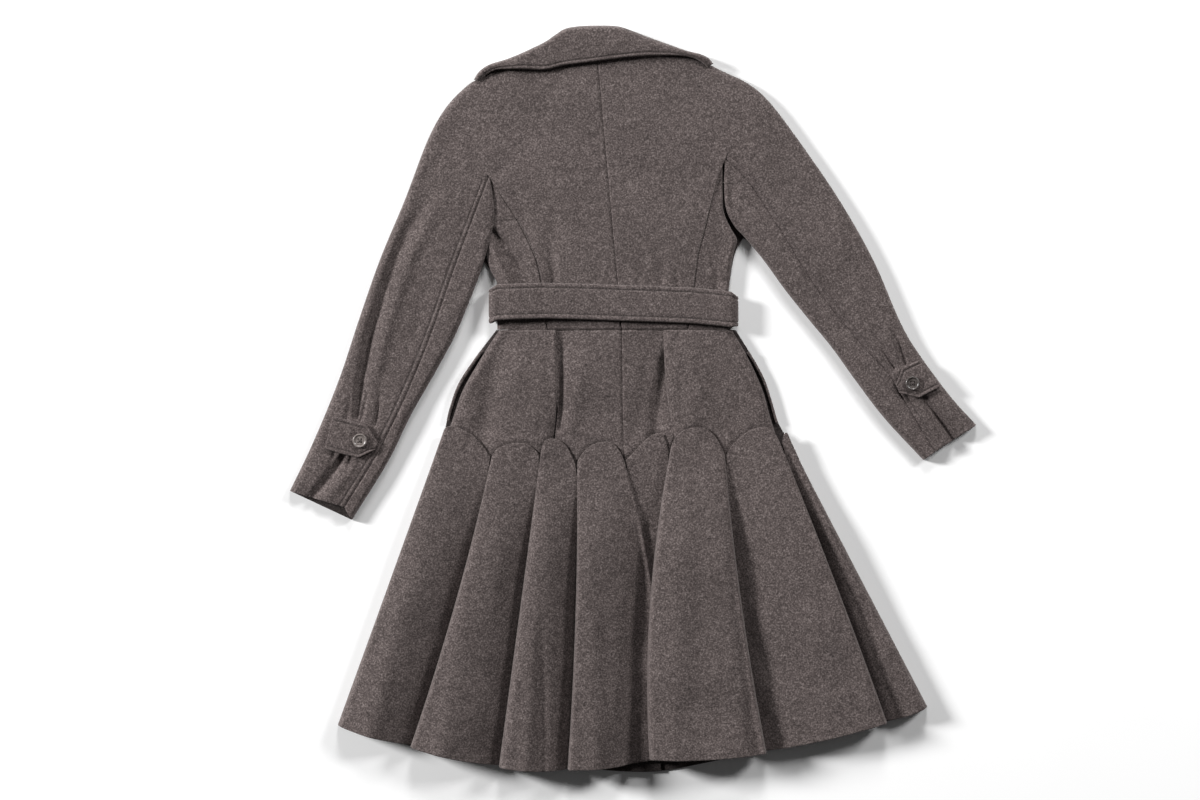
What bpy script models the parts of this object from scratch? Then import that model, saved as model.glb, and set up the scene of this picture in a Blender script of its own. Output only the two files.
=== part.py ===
"""Wool coat laid flat on its front, with the back facing up.

The bodice back is cut in one with the sleeves. Below the belt a hip yoke carries a flounce of
scallop-topped gores that lie over one another. Sizes are in metres, +Z is up, and +Y points
to the collar.
"""

import math
from collections import namedtuple

import bmesh
import bpy
import numpy as np

# Cloth and sewing
CLOTH = 0.0024
DOUBLED = 0.0050
SEAM = 0.0004
EDGE_ROLL = 0.010
LIP_ROLL = 0.005
COLLAR_ROLL = 0.008
HIP_ROLL = 0.014
SOFT_EDGE = 0.012
ROLL_ANGLES = (0.0, 38.0, 66.0)

# Front of the coat, which lies on the floor and passes over the belt
FRONT_FACE = CLOTH
LAP_RISE = 0.0027
BELT_RISE = 0.0053
BELT_RISE_FULL = (0.0826, 0.1918)
BELT_RISE_ENDS = (0.0336, 0.2366)
BODY_SIDES = (-0.226, 0.176)
BODY_SIDE_FADE = 0.022

# Back neck under the collar
NECK_RISE = 0.0046
NECK_X = (-0.165, 0.065)
NECK_Y = (0.4680, 0.4900)
NECK_FADE = 0.04

# Waist, yoke and flounce
WAIST_Y = 0.0966
YOKE_Y = -0.0672
CENTRE_BACK_X = -0.0147
GORE_ROWS = (0.0, 0.022, 0.045, 0.09, 0.15, 0.24, 0.36, 0.52, 0.70, 0.86, 1.0)
OVERLAP_START = 0.045
OVERLAP_FULL = 0.14
HEM_BOW = 0.004
FOLD_FOOT = 0.0184

# Belt
BELT_WIDTH = 0.050
BELT_UNDER = 0.0166
BELT_END_LEFT = -0.2002
BELT_END_RIGHT = 0.1484

# Cuff tabs and buttons
TAB_THICK = 0.0040
SLEEVE_FACE = 0.0149
BUTTON_RADIUS = 0.0100
BUTTON_HEIGHT = 0.0040
BUTTON_RECESS = 0.0012
BUTTON_HOLE = 0.0011
BUTTON_HOLE_SPACING = 0.0042
BUTTON_LEFT = (-0.3794, -0.0581)
BUTTON_RIGHT = (0.3906, 0.0217)

# Pocket edges
WELT_WIDTH = 0.0042
WELT_THICK = 0.0050

# Colours
WOOL = (0.125, 0.100, 0.096)
WOOL_DARK = (0.105, 0.083, 0.079)
HORN = (0.080, 0.062, 0.052)

# Table columns: plan position, height of the outer face, and height of a rolled edge's foot
Edge = namedtuple("Edge", "x y z foot")
Lap = namedtuple("Lap", "top_x top_y low_x low_y rise")
Strip = namedtuple("Strip", "a_x a_y b_x b_y")
Hip = namedtuple("Hip", "a_x a_y a_z a_foot b_x b_y b_z b_foot crown")
GoreEdge = namedtuple("GoreEdge", "top_x top_y hem_x hem_y bow over under_z under_hem")
Gore = namedtuple("Gore", "arch peak base_a base_b a_z mid_z b_z overlap")
Collar = namedtuple("Collar", "a_x a_y a_z b_x b_y b_z")
BeltLine = namedtuple("BeltLine", "x y rise")
Fold = namedtuple("Fold", "x y lift half")

# Back neck, shoulder and overarm, from the nape to the cuff
OVERARM_LEFT = [
    Edge(-0.0504, 0.4928, 0.0160, 0.0136),
    Edge(-0.1064, 0.4844, 0.0160, 0.0136),
    Edge(-0.1540, 0.4690, 0.0155, 0.0120),
    Edge(-0.1918, 0.4536, 0.0150, 0.0060),
    Edge(-0.2128, 0.4466, 0.0145, 0.0027),
    Edge(-0.2324, 0.4368, 0.0145, 0.0027),
    Edge(-0.2604, 0.4074, 0.0145, 0.0027),
    Edge(-0.2856, 0.3626, 0.0145, 0.0027),
    Edge(-0.3178, 0.2786, 0.0145, 0.0027),
    Edge(-0.3528, 0.1946, 0.0145, 0.0027),
    Edge(-0.3822, 0.1106, 0.0140, 0.0027),
    Edge(-0.4102, 0.0266, 0.0140, 0.0027),
    Edge(-0.4466, -0.0616, 0.0140, 0.0027),
    Edge(-0.4788, -0.1288, 0.0135, 0.0027),
]

# The same edge on the right
OVERARM_RIGHT = [
    Edge(-0.0504, 0.4928, 0.0160, 0.0136),
    Edge(0.0252, 0.4886, 0.0160, 0.0136),
    Edge(0.0728, 0.4746, 0.0155, 0.0120),
    Edge(0.1036, 0.4634, 0.0150, 0.0060),
    Edge(0.1260, 0.4578, 0.0145, 0.0027),
    Edge(0.1624, 0.4410, 0.0145, 0.0027),
    Edge(0.1918, 0.4158, 0.0145, 0.0027),
    Edge(0.2324, 0.3626, 0.0145, 0.0027),
    Edge(0.2898, 0.2786, 0.0145, 0.0027),
    Edge(0.3374, 0.1946, 0.0145, 0.0027),
    Edge(0.3738, 0.1106, 0.0140, 0.0027),
    Edge(0.3976, 0.0686, 0.0140, 0.0027),
    Edge(0.4438, 0.0056, 0.0140, 0.0027),
    Edge(0.4816, -0.0364, 0.0135, 0.0027),
]

# Side-back seam, from the waist to the armpit point
SIDE_SEAM_LEFT = [
    Edge(-0.1176, 0.0966, 0.0150, 0.0000),
    Edge(-0.1246, 0.1526, 0.0150, 0.0000),
    Edge(-0.1316, 0.1876, 0.0150, 0.0000),
    Edge(-0.1428, 0.2156, 0.0150, 0.0000),
    Edge(-0.1610, 0.2506, 0.0150, 0.0000),
    Edge(-0.1848, 0.2870, 0.0145, 0.0000),
    Edge(-0.2002, 0.3108, 0.0145, 0.0000),
]

# The same seam on the right
SIDE_SEAM_RIGHT = [
    Edge(0.0770, 0.0966, 0.0150, 0.0000),
    Edge(0.0854, 0.1526, 0.0150, 0.0000),
    Edge(0.0910, 0.1974, 0.0150, 0.0000),
    Edge(0.0994, 0.2296, 0.0150, 0.0000),
    Edge(0.1064, 0.2604, 0.0150, 0.0000),
    Edge(0.1176, 0.3094, 0.0145, 0.0000),
    Edge(0.1260, 0.3388, 0.0145, 0.0000),
]

# Sleeve seam, from the armpit point to the cuff
SLEEVE_SEAM_LEFT = [
    Edge(-0.2002, 0.3108, 0.0145, 0.0000),
    Edge(-0.2226, 0.2520, 0.0145, 0.0000),
    Edge(-0.2478, 0.1848, 0.0145, 0.0000),
    Edge(-0.2786, 0.0966, 0.0140, 0.0000),
    Edge(-0.3066, 0.0266, 0.0140, 0.0000),
    Edge(-0.3304, -0.0266, 0.0140, 0.0000),
    Edge(-0.3612, -0.0854, 0.0140, 0.0000),
    Edge(-0.4018, -0.1512, 0.0135, 0.0000),
]

# The same seam on the right
SLEEVE_SEAM_RIGHT = [
    Edge(0.1260, 0.3388, 0.0145, 0.0000),
    Edge(0.1624, 0.3024, 0.0145, 0.0000),
    Edge(0.2072, 0.2352, 0.0145, 0.0000),
    Edge(0.2590, 0.1526, 0.0140, 0.0000),
    Edge(0.3192, 0.0770, 0.0140, 0.0000),
    Edge(0.3556, 0.0378, 0.0140, 0.0000),
    Edge(0.3878, -0.0154, 0.0140, 0.0000),
    Edge(0.4228, -0.0742, 0.0135, 0.0000),
]

# Underarm fold, from the armpit point to the cuff
UNDERARM_LEFT = [
    Edge(-0.1974, 0.3066, 0.0140, 0.0108),
    Edge(-0.1925, 0.2562, 0.0140, 0.0106),
    Edge(-0.1988, 0.2226, 0.0140, 0.0105),
    Edge(-0.2072, 0.1918, 0.0135, 0.0096),
    Edge(-0.2170, 0.1638, 0.0135, 0.0040),
    Edge(-0.2268, 0.1386, 0.0135, 0.0027),
    Edge(-0.2492, 0.0854, 0.0135, 0.0027),
    Edge(-0.2814, 0.0266, 0.0135, 0.0027),
    Edge(-0.3108, -0.0252, 0.0135, 0.0027),
    Edge(-0.3416, -0.0882, 0.0135, 0.0027),
    Edge(-0.3920, -0.1694, 0.0130, 0.0027),
]

# The same fold on the right
UNDERARM_RIGHT = [
    Edge(0.1288, 0.3304, 0.0135, 0.0040),
    Edge(0.1309, 0.2716, 0.0135, 0.0043),
    Edge(0.1414, 0.2436, 0.0135, 0.0043),
    Edge(0.1568, 0.2268, 0.0135, 0.0043),
    Edge(0.1848, 0.1932, 0.0135, 0.0032),
    Edge(0.2142, 0.1526, 0.0135, 0.0027),
    Edge(0.2478, 0.1106, 0.0135, 0.0027),
    Edge(0.2800, 0.0714, 0.0135, 0.0027),
    Edge(0.3122, 0.0266, 0.0135, 0.0027),
    Edge(0.3528, -0.0266, 0.0135, 0.0027),
    Edge(0.4074, -0.0854, 0.0130, 0.0027),
]

# Body side fold, from the waist up to the armpit
BODY_SIDE_LEFT = [
    Edge(-0.1883, 0.0966, 0.0130, 0.0027),
    Edge(-0.1883, 0.1386, 0.0130, 0.0027),
    Edge(-0.1883, 0.1610, 0.0130, 0.0027),
    Edge(-0.1988, 0.1820, 0.0120, 0.0027),
    Edge(-0.2051, 0.2044, 0.0092, 0.0027),
    Edge(-0.2030, 0.2422, 0.0088, 0.0043),
    Edge(-0.1967, 0.2786, 0.0088, 0.0043),
]

# The same fold on the right
BODY_SIDE_RIGHT = [
    Edge(0.1372, 0.0966, 0.0130, 0.0027),
    Edge(0.1344, 0.1386, 0.0130, 0.0027),
    Edge(0.1372, 0.1736, 0.0130, 0.0027),
    Edge(0.1428, 0.2058, 0.0130, 0.0027),
    Edge(0.1470, 0.2226, 0.0125, 0.0027),
    Edge(0.1379, 0.2394, 0.0120, 0.0043),
    Edge(0.1281, 0.2618, 0.0120, 0.0043),
    Edge(0.1253, 0.2898, 0.0125, 0.0043),
]

# Body side edge of the front, from the waist to the underarm
FRONT_SIDE_LEFT = [
    Edge(-0.1876, 0.0966, 0.0000, 0.0000),
    Edge(-0.1869, 0.1386, 0.0000, 0.0000),
    Edge(-0.1869, 0.1624, 0.0000, 0.0000),
    Edge(-0.1988, 0.1806, 0.0000, 0.0000),
    Edge(-0.2072, 0.1918, 0.0000, 0.0000),
]

# The same edge on the right
FRONT_SIDE_RIGHT = [
    Edge(0.1372, 0.0966, 0.0000, 0.0000),
    Edge(0.1344, 0.1386, 0.0000, 0.0000),
    Edge(0.1386, 0.1778, 0.0000, 0.0000),
    Edge(0.1456, 0.2086, 0.0000, 0.0000),
    Edge(0.1568, 0.2268, 0.0000, 0.0000),
]

# Neckline and waist of the left front, from its front edge to the shoulder
LAP_LEFT = [
    Lap(0.0000, 0.2394, 0.0196, 0.0966, 0.0030),
    Lap(-0.0532, 0.2926, -0.0308, 0.0966, 0.0030),
    Lap(-0.0728, 0.3248, -0.0616, 0.0966, 0.0030),
    Lap(-0.1036, 0.3794, -0.0980, 0.0966, 0.0000),
    Lap(-0.1540, 0.4690, -0.1428, 0.0966, 0.0000),
]

# Neckline and waist of the right front
LAP_RIGHT = [
    Lap(-0.0658, 0.2394, -0.0490, 0.0966, 0.0000),
    Lap(-0.0280, 0.2926, -0.0098, 0.0966, 0.0000),
    Lap(0.0112, 0.3752, 0.0322, 0.0966, 0.0000),
    Lap(0.0728, 0.4746, 0.0910, 0.0966, 0.0000),
]

# Front end of the collar: neckline side and free side
COLLAR_FRONT_LEFT = [
    Strip(-0.0532, 0.2926, -0.0448, 0.3024),
    Strip(-0.0728, 0.3248, -0.0560, 0.3346),
    Strip(-0.1036, 0.3794, -0.0658, 0.3934),
    Strip(-0.1540, 0.4690, -0.1162, 0.4774),
]

# The same piece on the right
COLLAR_FRONT_RIGHT = [
    Strip(-0.0280, 0.2926, -0.0378, 0.3024),
    Strip(0.0112, 0.3752, -0.0280, 0.3878),
    Strip(0.0728, 0.4746, 0.0322, 0.4830),
]

# Hip panels, from the waist down
HIP_SIDE_LEFT = [
    Hip(-0.1855, 0.0966, 0.0145, 0.0027, -0.1064, 0.0966, 0.0155, 0.0129, 0.0005),
    Hip(-0.2128, 0.0546, 0.0145, 0.0027, -0.1057, 0.0546, 0.0180, 0.0147, 0.0015),
    Hip(-0.2366, 0.0126, 0.0145, 0.0027, -0.1050, 0.0126, 0.0185, 0.0147, 0.0015),
    Hip(-0.2492, -0.0224, 0.0140, 0.0027, -0.1064, -0.0224, 0.0160, 0.0135, 0.0005),
    Hip(-0.2555, -0.0434, 0.0130, 0.0027, -0.1085, -0.0434, 0.0130, 0.0106, 0.0000),
    Hip(-0.2590, -0.0574, 0.0130, 0.0027, -0.1099, -0.0574, 0.0130, 0.0106, 0.0000),
    Hip(-0.2604, -0.0994, 0.0120, 0.0027, -0.1120, -0.0994, 0.0120, 0.0096, 0.0000),
]

# Between the left pleat and the centre-back seam
HIP_CENTRE_LEFT = [
    Hip(-0.1134, 0.0966, 0.0123, 0.0000, -0.0147, 0.0966, 0.0145, 0.0000, 0.0005),
    Hip(-0.1134, 0.0546, 0.0140, 0.0000, -0.0143, 0.0546, 0.0150, 0.0000, 0.0006),
    Hip(-0.1113, 0.0196, 0.0140, 0.0000, -0.0140, 0.0196, 0.0150, 0.0000, 0.0006),
    Hip(-0.1044, -0.0084, 0.0133, 0.0000, -0.0136, -0.0084, 0.0144, 0.0000, 0.0002),
    Hip(-0.1053, -0.0294, 0.0129, 0.0000, -0.0132, -0.0294, 0.0133, 0.0000, 0.0000),
    Hip(-0.1074, -0.0504, 0.0129, 0.0000, -0.0127, -0.0504, 0.0129, 0.0000, 0.0000),
    Hip(-0.1106, -0.0994, 0.0120, 0.0000, -0.0112, -0.0994, 0.0120, 0.0000, 0.0000),
]

# Between the centre-back seam and the right pleat
HIP_CENTRE_RIGHT = [
    Hip(-0.0147, 0.0966, 0.0145, 0.0000, 0.0518, 0.0966, 0.0126, 0.0000, 0.0005),
    Hip(-0.0143, 0.0546, 0.0150, 0.0000, 0.0532, 0.0546, 0.0126, 0.0000, 0.0004),
    Hip(-0.0140, 0.0126, 0.0150, 0.0000, 0.0560, 0.0126, 0.0126, 0.0000, 0.0004),
    Hip(-0.0134, -0.0224, 0.0140, 0.0000, 0.0616, -0.0224, 0.0126, 0.0000, 0.0000),
    Hip(-0.0129, -0.0434, 0.0130, 0.0000, 0.0658, -0.0434, 0.0126, 0.0000, 0.0000),
    Hip(-0.0126, -0.0574, 0.0130, 0.0000, 0.0672, -0.0574, 0.0126, 0.0000, 0.0000),
    Hip(-0.0112, -0.0994, 0.0120, 0.0000, 0.0700, -0.0994, 0.0116, 0.0000, 0.0000),
]

# From the right pleat to the side
HIP_SIDE_RIGHT = [
    Hip(0.0434, 0.0966, 0.0180, 0.0131, 0.1393, 0.0966, 0.0145, 0.0027, 0.0000),
    Hip(0.0448, 0.0546, 0.0210, 0.0131, 0.1638, 0.0546, 0.0145, 0.0027, 0.0000),
    Hip(0.0476, 0.0126, 0.0220, 0.0131, 0.1827, 0.0126, 0.0145, 0.0027, -0.0005),
    Hip(0.0532, -0.0224, 0.0200, 0.0131, 0.1925, -0.0224, 0.0138, 0.0027, -0.0010),
    Hip(0.0574, -0.0434, 0.0188, 0.0131, 0.1988, -0.0434, 0.0130, 0.0027, -0.0012),
    Hip(0.0595, -0.0574, 0.0185, 0.0131, 0.2030, -0.0574, 0.0130, 0.0027, -0.0010),
    Hip(0.0630, -0.0994, 0.0165, 0.0131, 0.2114, -0.0994, 0.0120, 0.0027, -0.0010),
]

# Edges between the gores, left to right
GORE_EDGES = [
    GoreEdge(-0.2646, -0.0532, -0.4116, -0.4550, 0.0000, "none", 0.0027, 0.0027),
    GoreEdge(-0.1960, -0.0812, -0.3094, -0.4844, 0.0000, "right", 0.0157, 0.0075),
    GoreEdge(-0.1274, -0.0784, -0.1862, -0.5124, 0.0000, "right", 0.0157, 0.0075),
    GoreEdge(-0.0770, -0.0910, -0.0980, -0.5152, 0.0000, "right", 0.0157, 0.0085),
    GoreEdge(-0.0112, -0.0854, 0.0360, -0.5026, 0.0196, "left", 0.0157, 0.0085),
    GoreEdge(0.0532, -0.0742, 0.0238, -0.5012, -0.0140, "right", 0.0157, 0.0085),
    GoreEdge(0.1295, -0.0784, 0.1876, -0.4928, -0.0056, "left", 0.0180, 0.0090),
    GoreEdge(0.2072, -0.0630, 0.3556, -0.4508, 0.0028, "left", 0.0157, 0.0075),
    GoreEdge(0.2198, -0.0588, 0.4130, -0.4298, 0.0000, "none", 0.0027, 0.0027),
]

GORES = [
    Gore(0.0224, 0.42, 0.0157, 0.0157, 0.0180, 0.0240, 0.0075, 0.012),
    Gore(0.0182, 0.55, 0.0157, 0.0157, 0.0260, 0.0300, 0.0075, 0.012),
    Gore(0.0280, 0.45, 0.0157, 0.0157, 0.0280, 0.0310, 0.0085, 0.012),
    Gore(0.0280, 0.58, 0.0157, 0.0157, 0.0320, 0.0285, 0.0083, 0.012),
    Gore(0.0294, 0.74, 0.0157, 0.0157, 0.0085, 0.0085, 0.0085, 0.022),
    Gore(0.0364, 0.53, 0.0222, 0.0180, 0.0330, 0.0360, 0.0290, 0.012),
    Gore(0.0294, 0.62, 0.0180, 0.0157, 0.0090, 0.0260, 0.0250, 0.012),
    Gore(0.0140, 0.50, 0.0157, 0.0157, 0.0075, 0.0190, 0.0180, 0.012),
]

# Hem of the skirt front, left to right
FRONT_HEM = [
    Edge(-0.4116, -0.4550, 0.0000, 0.0000),
    Edge(-0.3108, -0.4858, 0.0000, 0.0000),
    Edge(-0.1848, -0.5110, 0.0000, 0.0000),
    Edge(-0.0868, -0.5152, 0.0000, 0.0000),
    Edge(-0.0168, -0.5208, 0.0000, 0.0000),
    Edge(0.0392, -0.5208, 0.0000, 0.0000),
    Edge(0.0952, -0.5110, 0.0000, 0.0000),
    Edge(0.1792, -0.4928, 0.0000, 0.0000),
    Edge(0.3542, -0.4522, 0.0000, 0.0000),
    Edge(0.4130, -0.4298, 0.0000, 0.0000),
]

# Side edge of the skirt front, waist to flounce
HIP_OUTLINE_LEFT = [
    Edge(-0.1897, 0.0966, 0.0000, 0.0000),
    Edge(-0.2226, 0.0532, 0.0000, 0.0000),
    Edge(-0.2436, 0.0203, 0.0000, 0.0000),
    Edge(-0.2548, -0.0112, 0.0000, 0.0000),
    Edge(-0.2596, -0.0308, 0.0000, 0.0000),
    Edge(-0.2625, -0.0476, 0.0000, 0.0000),
    Edge(-0.2660, -0.0672, 0.0000, 0.0000),
]

# The same edge on the right
HIP_OUTLINE_RIGHT = [
    Edge(0.1449, 0.0966, 0.0000, 0.0000),
    Edge(0.1708, 0.0550, 0.0000, 0.0000),
    Edge(0.1858, 0.0266, 0.0000, 0.0000),
    Edge(0.1960, -0.0042, 0.0000, 0.0000),
    Edge(0.2040, -0.0315, 0.0000, 0.0000),
    Edge(0.2128, -0.0476, 0.0000, 0.0000),
    Edge(0.2226, -0.0672, 0.0000, 0.0000),
]

# Collar: fold and free edge, left to right
COLLAR = [
    Collar(-0.2212, 0.4466, 0.0165, -0.2128, 0.4424, 0.0176),
    Collar(-0.2128, 0.4585, 0.0200, -0.2030, 0.4522, 0.0200),
    Collar(-0.1988, 0.4676, 0.0220, -0.1890, 0.4585, 0.0220),
    Collar(-0.1764, 0.4746, 0.0250, -0.1736, 0.4592, 0.0230),
    Collar(-0.1554, 0.4830, 0.0270, -0.1540, 0.4592, 0.0240),
    Collar(-0.1372, 0.4914, 0.0275, -0.1372, 0.4585, 0.0240),
    Collar(-0.1204, 0.4998, 0.0280, -0.1204, 0.4585, 0.0240),
    Collar(-0.1064, 0.5096, 0.0280, -0.1050, 0.4620, 0.0240),
    Collar(-0.0938, 0.5173, 0.0280, -0.0924, 0.4648, 0.0240),
    Collar(-0.0756, 0.5208, 0.0280, -0.0756, 0.4669, 0.0240),
    Collar(-0.0476, 0.5219, 0.0280, -0.0476, 0.4704, 0.0240),
    Collar(-0.0196, 0.5208, 0.0280, -0.0196, 0.4739, 0.0240),
    Collar(0.0000, 0.5145, 0.0280, 0.0000, 0.4760, 0.0240),
    Collar(0.0196, 0.5068, 0.0280, 0.0196, 0.4774, 0.0240),
    Collar(0.0392, 0.4998, 0.0270, 0.0392, 0.4781, 0.0240),
    Collar(0.0602, 0.4921, 0.0260, 0.0602, 0.4781, 0.0235),
    Collar(0.0784, 0.4858, 0.0240, 0.0770, 0.4767, 0.0225),
    Collar(0.0938, 0.4823, 0.0220, 0.0896, 0.4732, 0.0215),
    Collar(0.1064, 0.4767, 0.0200, 0.0994, 0.4676, 0.0200),
    Collar(0.1134, 0.4690, 0.0165, 0.1064, 0.4613, 0.0176),
]

# Mid-line of the belt on the back
BELT_LINE = [
    BeltLine(-0.2002, 0.1344, 0.0000),
    BeltLine(-0.1708, 0.1355, 0.0003),
    BeltLine(-0.1232, 0.1369, 0.0006),
    BeltLine(-0.0728, 0.1358, 0.0002),
    BeltLine(-0.0196, 0.1338, 0.0007),
    BeltLine(0.0322, 0.1322, 0.0002),
    BeltLine(0.0840, 0.1302, 0.0006),
    BeltLine(0.1232, 0.1266, 0.0002),
    BeltLine(0.1484, 0.1232, 0.0000),
]

# Cuff tab: long sides from the base to the point
TAB_LEFT = [
    Strip(-0.4172, -0.0238, -0.4291, -0.0700),
    Strip(-0.3934, -0.0301, -0.4056, -0.0763),
    Strip(-0.3696, -0.0364, -0.3822, -0.0826),
    Strip(-0.3542, -0.0609, -0.3584, -0.0714),
]

# The same tab on the right
TAB_RIGHT = [
    Strip(0.4004, 0.0546, 0.4298, 0.0168),
    Strip(0.3885, 0.0490, 0.4151, 0.0091),
    Strip(0.3766, 0.0434, 0.4004, 0.0014),
    Strip(0.3675, 0.0196, 0.3724, 0.0084),
]

# Largest folds of the back and sleeves: line, lift and half width
FOLDS = {
    "back_left": [
        [
            Fold(-0.2688, 0.3094, 0.0000, 0.0090),
            Fold(-0.3066, 0.2296, -0.0040, 0.0090),
            Fold(-0.3486, 0.1386, -0.0045, 0.0090),
            Fold(-0.3780, 0.0154, -0.0040, 0.0080),
            Fold(-0.3864, -0.0210, 0.0000, 0.0080),
        ],
        [
            Fold(-0.3976, -0.0770, 0.0000, 0.0070),
            Fold(-0.4200, -0.0994, -0.0025, 0.0070),
            Fold(-0.4452, -0.1274, -0.0025, 0.0070),
        ],
        [
            Fold(-0.1106, 0.2856, 0.0000, 0.0080),
            Fold(-0.1134, 0.2226, -0.0025, 0.0080),
            Fold(-0.1148, 0.1666, -0.0030, 0.0080),
            Fold(-0.1162, 0.1176, 0.0000, 0.0080),
        ],
    ],
    "back_right": [
        [
            Fold(0.4102, 0.0042, 0.0000, 0.0070),
            Fold(0.4284, -0.0266, -0.0025, 0.0070),
            Fold(0.4480, -0.0574, -0.0025, 0.0070),
        ],
        [
            Fold(0.0392, 0.2296, 0.0000, 0.0080),
            Fold(0.0392, 0.1778, -0.0025, 0.0080),
            Fold(0.0392, 0.1386, 0.0000, 0.0080),
        ],
    ],
    "side_panel_left": [
        [
            Fold(-0.1946, 0.2366, -0.0004, 0.0060),
            Fold(-0.1792, 0.2072, -0.0012, 0.0060),
            Fold(-0.1638, 0.1806, -0.0014, 0.0060),
            Fold(-0.1526, 0.1526, -0.0016, 0.0060),
        ],
    ],
}


def smooth(value):
    """Ease from 0 to 1."""
    value = min(max(value, 0.0), 1.0)
    return value * value * (3.0 - 2.0 * value)


def front_face(x, y):
    """Height of the front's inner face, which rises over the belt between the body's sides."""
    low = smooth((y - BELT_RISE_ENDS[0]) / (BELT_RISE_FULL[0] - BELT_RISE_ENDS[0]))
    high = smooth((BELT_RISE_ENDS[1] - y) / (BELT_RISE_ENDS[1] - BELT_RISE_FULL[1]))
    left = smooth((x - BODY_SIDES[0]) / BODY_SIDE_FADE)
    right = smooth((BODY_SIDES[1] - x) / BODY_SIDE_FADE)
    return FRONT_FACE + BELT_RISE * low * high * left * right


def foot_over_front(x, y):
    """Lowest foot of a rolled edge over the front, with more room where the front slopes."""
    face = front_face(x, y)
    return face + SEAM + 0.0009 * smooth((face - FRONT_FACE) / 0.001)


def neck_rise(x, y):
    """Rise of the back neck to the seam under the collar."""
    up = smooth((y - NECK_Y[0]) / (NECK_Y[1] - NECK_Y[0]))
    left = smooth((x - NECK_X[0]) / NECK_FADE)
    right = smooth((NECK_X[1] - x) / NECK_FADE)
    return NECK_RISE * up * left * right


def run(table, first, last, steps):
    """Points spaced evenly by length along a smooth curve between two rows of a table."""
    knots = np.array(table, dtype=float)
    ends = np.vstack([2 * knots[0] - knots[1], knots, 2 * knots[-1] - knots[-2]])
    dense = []
    for row in range(first, last):
        p0, p1, p2, p3 = ends[row:row + 4]
        for t in np.linspace(0.0, 1.0, 24, endpoint=False):
            bend = (2 * p0 - 5 * p1 + 4 * p2 - p3) * t * t
            twist = (3 * p1 - p0 - 3 * p2 + p3) * t ** 3
            dense.append(0.5 * (2 * p1 + (p2 - p0) * t + bend + twist))
    dense.append(knots[last])
    dense = np.array(dense)
    length = np.concatenate([[0.0], np.cumsum(np.hypot(*np.diff(dense[:, :2], axis=0).T))])
    stops = np.linspace(0.0, length[-1], steps + 1)
    return np.column_stack([np.interp(stops, length, column) for column in dense.T])


def joined(*runs):
    """Several runs end to end, with each shared point once."""
    return np.vstack([runs[0]] + [part[1:] for part in runs[1:]])


def level_line(x_start, x_end, y, z, steps):
    """A straight edge at one height."""
    return np.array([(x, y, z, 0.0) for x in np.linspace(x_start, x_end, steps + 1)])


def profile(width, a, b, crown, columns, depth):
    """Shares across a section and heights there. a and b are (kind, z, foot, reach) of its ends.

    A roll turns down to its foot, a tuck runs flat under its neighbour, and a seam is plain.
    """
    a_kind, a_z, a_foot, a_reach = a
    b_kind, b_z, b_foot, b_reach = b
    a_flat = min(a_reach + LIP_ROLL, 0.45 * width) if a_kind == "tuck" else 0.0
    b_flat = min(b_reach + LIP_ROLL, 0.45 * width) if b_kind == "tuck" else 0.0
    a_reach = min(a_reach, 0.42 * width)
    b_reach = min(b_reach, 0.42 * width)

    def top(s):
        u = min(max((s - a_flat) / max(width - a_flat - b_flat, 1e-6), 0.0), 1.0)
        return a_z + (b_z - a_z) * u + 4.0 * crown * u * (1.0 - u)

    def rolled(reach, foot, edge_z):
        points = []
        inner = max(reach - depth, 0.3 * reach)
        for angle in ROLL_ANGLES:
            turn = math.radians(angle)
            drop = max(edge_z - depth - foot, 0.12 * (edge_z - foot))
            points.append((reach - inner * math.cos(turn), foot + drop * math.sin(turn)))
        return points

    stops = []
    start = {"roll": a_reach, "seam": SEAM / 2, "tuck": a_flat}[a_kind]
    end = width - {"roll": b_reach, "seam": SEAM / 2, "tuck": b_flat}[b_kind]
    if a_kind == "roll":
        stops += rolled(a_reach, a_foot, top(a_reach))
    if a_kind == "tuck":
        stops.append((0.0, a_z - depth))
    shares = columns if isinstance(columns, tuple) else np.linspace(0.0, 1.0, columns)
    for share in shares:
        s = start + (end - start) * share
        stops.append((s, top(s) - depth))
    if b_kind == "tuck":
        stops.append((width, b_z - depth))
    if b_kind == "roll":
        for reach, z in reversed(rolled(b_reach, b_foot, top(end))):
            stops.append((width - reach, z))
    return stops


def fold_lift(lines, x, y):
    """Height that the folds add at a point."""
    total = 0.0
    for line in lines:
        strongest = 0.0
        for p, q in zip(line, line[1:]):
            run_x, run_y = q.x - p.x, q.y - p.y
            t = ((x - p.x) * run_x + (y - p.y) * run_y) / (run_x ** 2 + run_y ** 2)
            t = min(max(t, 0.0), 1.0)
            away = math.hypot(x - p.x - t * run_x, y - p.y - t * run_y)
            half = p.half + (q.half - p.half) * t
            lift = (p.lift + (q.lift - p.lift) * t) * math.exp(-(away / half) ** 2)
            strongest = lift if abs(lift) > abs(strongest) else strongest
        total += strongest
    return total


def close_wall(name, outer, inner, colour, roughness=0.9):
    """One closed solid between an outer and an inner grid of points."""
    rows, columns = outer.shape[:2]
    count = rows * columns
    vertices = np.vstack([outer.reshape(-1, 3), inner.reshape(-1, 3)]).tolist()
    faces = []
    for r in range(rows - 1):
        for c in range(columns - 1):
            i = r * columns + c
            faces.append((i, i + 1, i + columns + 1, i + columns))
            faces.append((count + i, count + i + columns, count + i + columns + 1, count + i + 1))
    rim = [c for c in range(columns)]
    rim += [r * columns + columns - 1 for r in range(1, rows)]
    rim += [(rows - 1) * columns + c for c in range(columns - 2, -1, -1)]
    rim += [r * columns for r in range(rows - 2, 0, -1)]
    for i, j in zip(rim, rim[1:] + rim[:1]):
        faces.append((i, j, count + j, count + i))
    add_solid(name, vertices, faces, colour, roughness)


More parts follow.
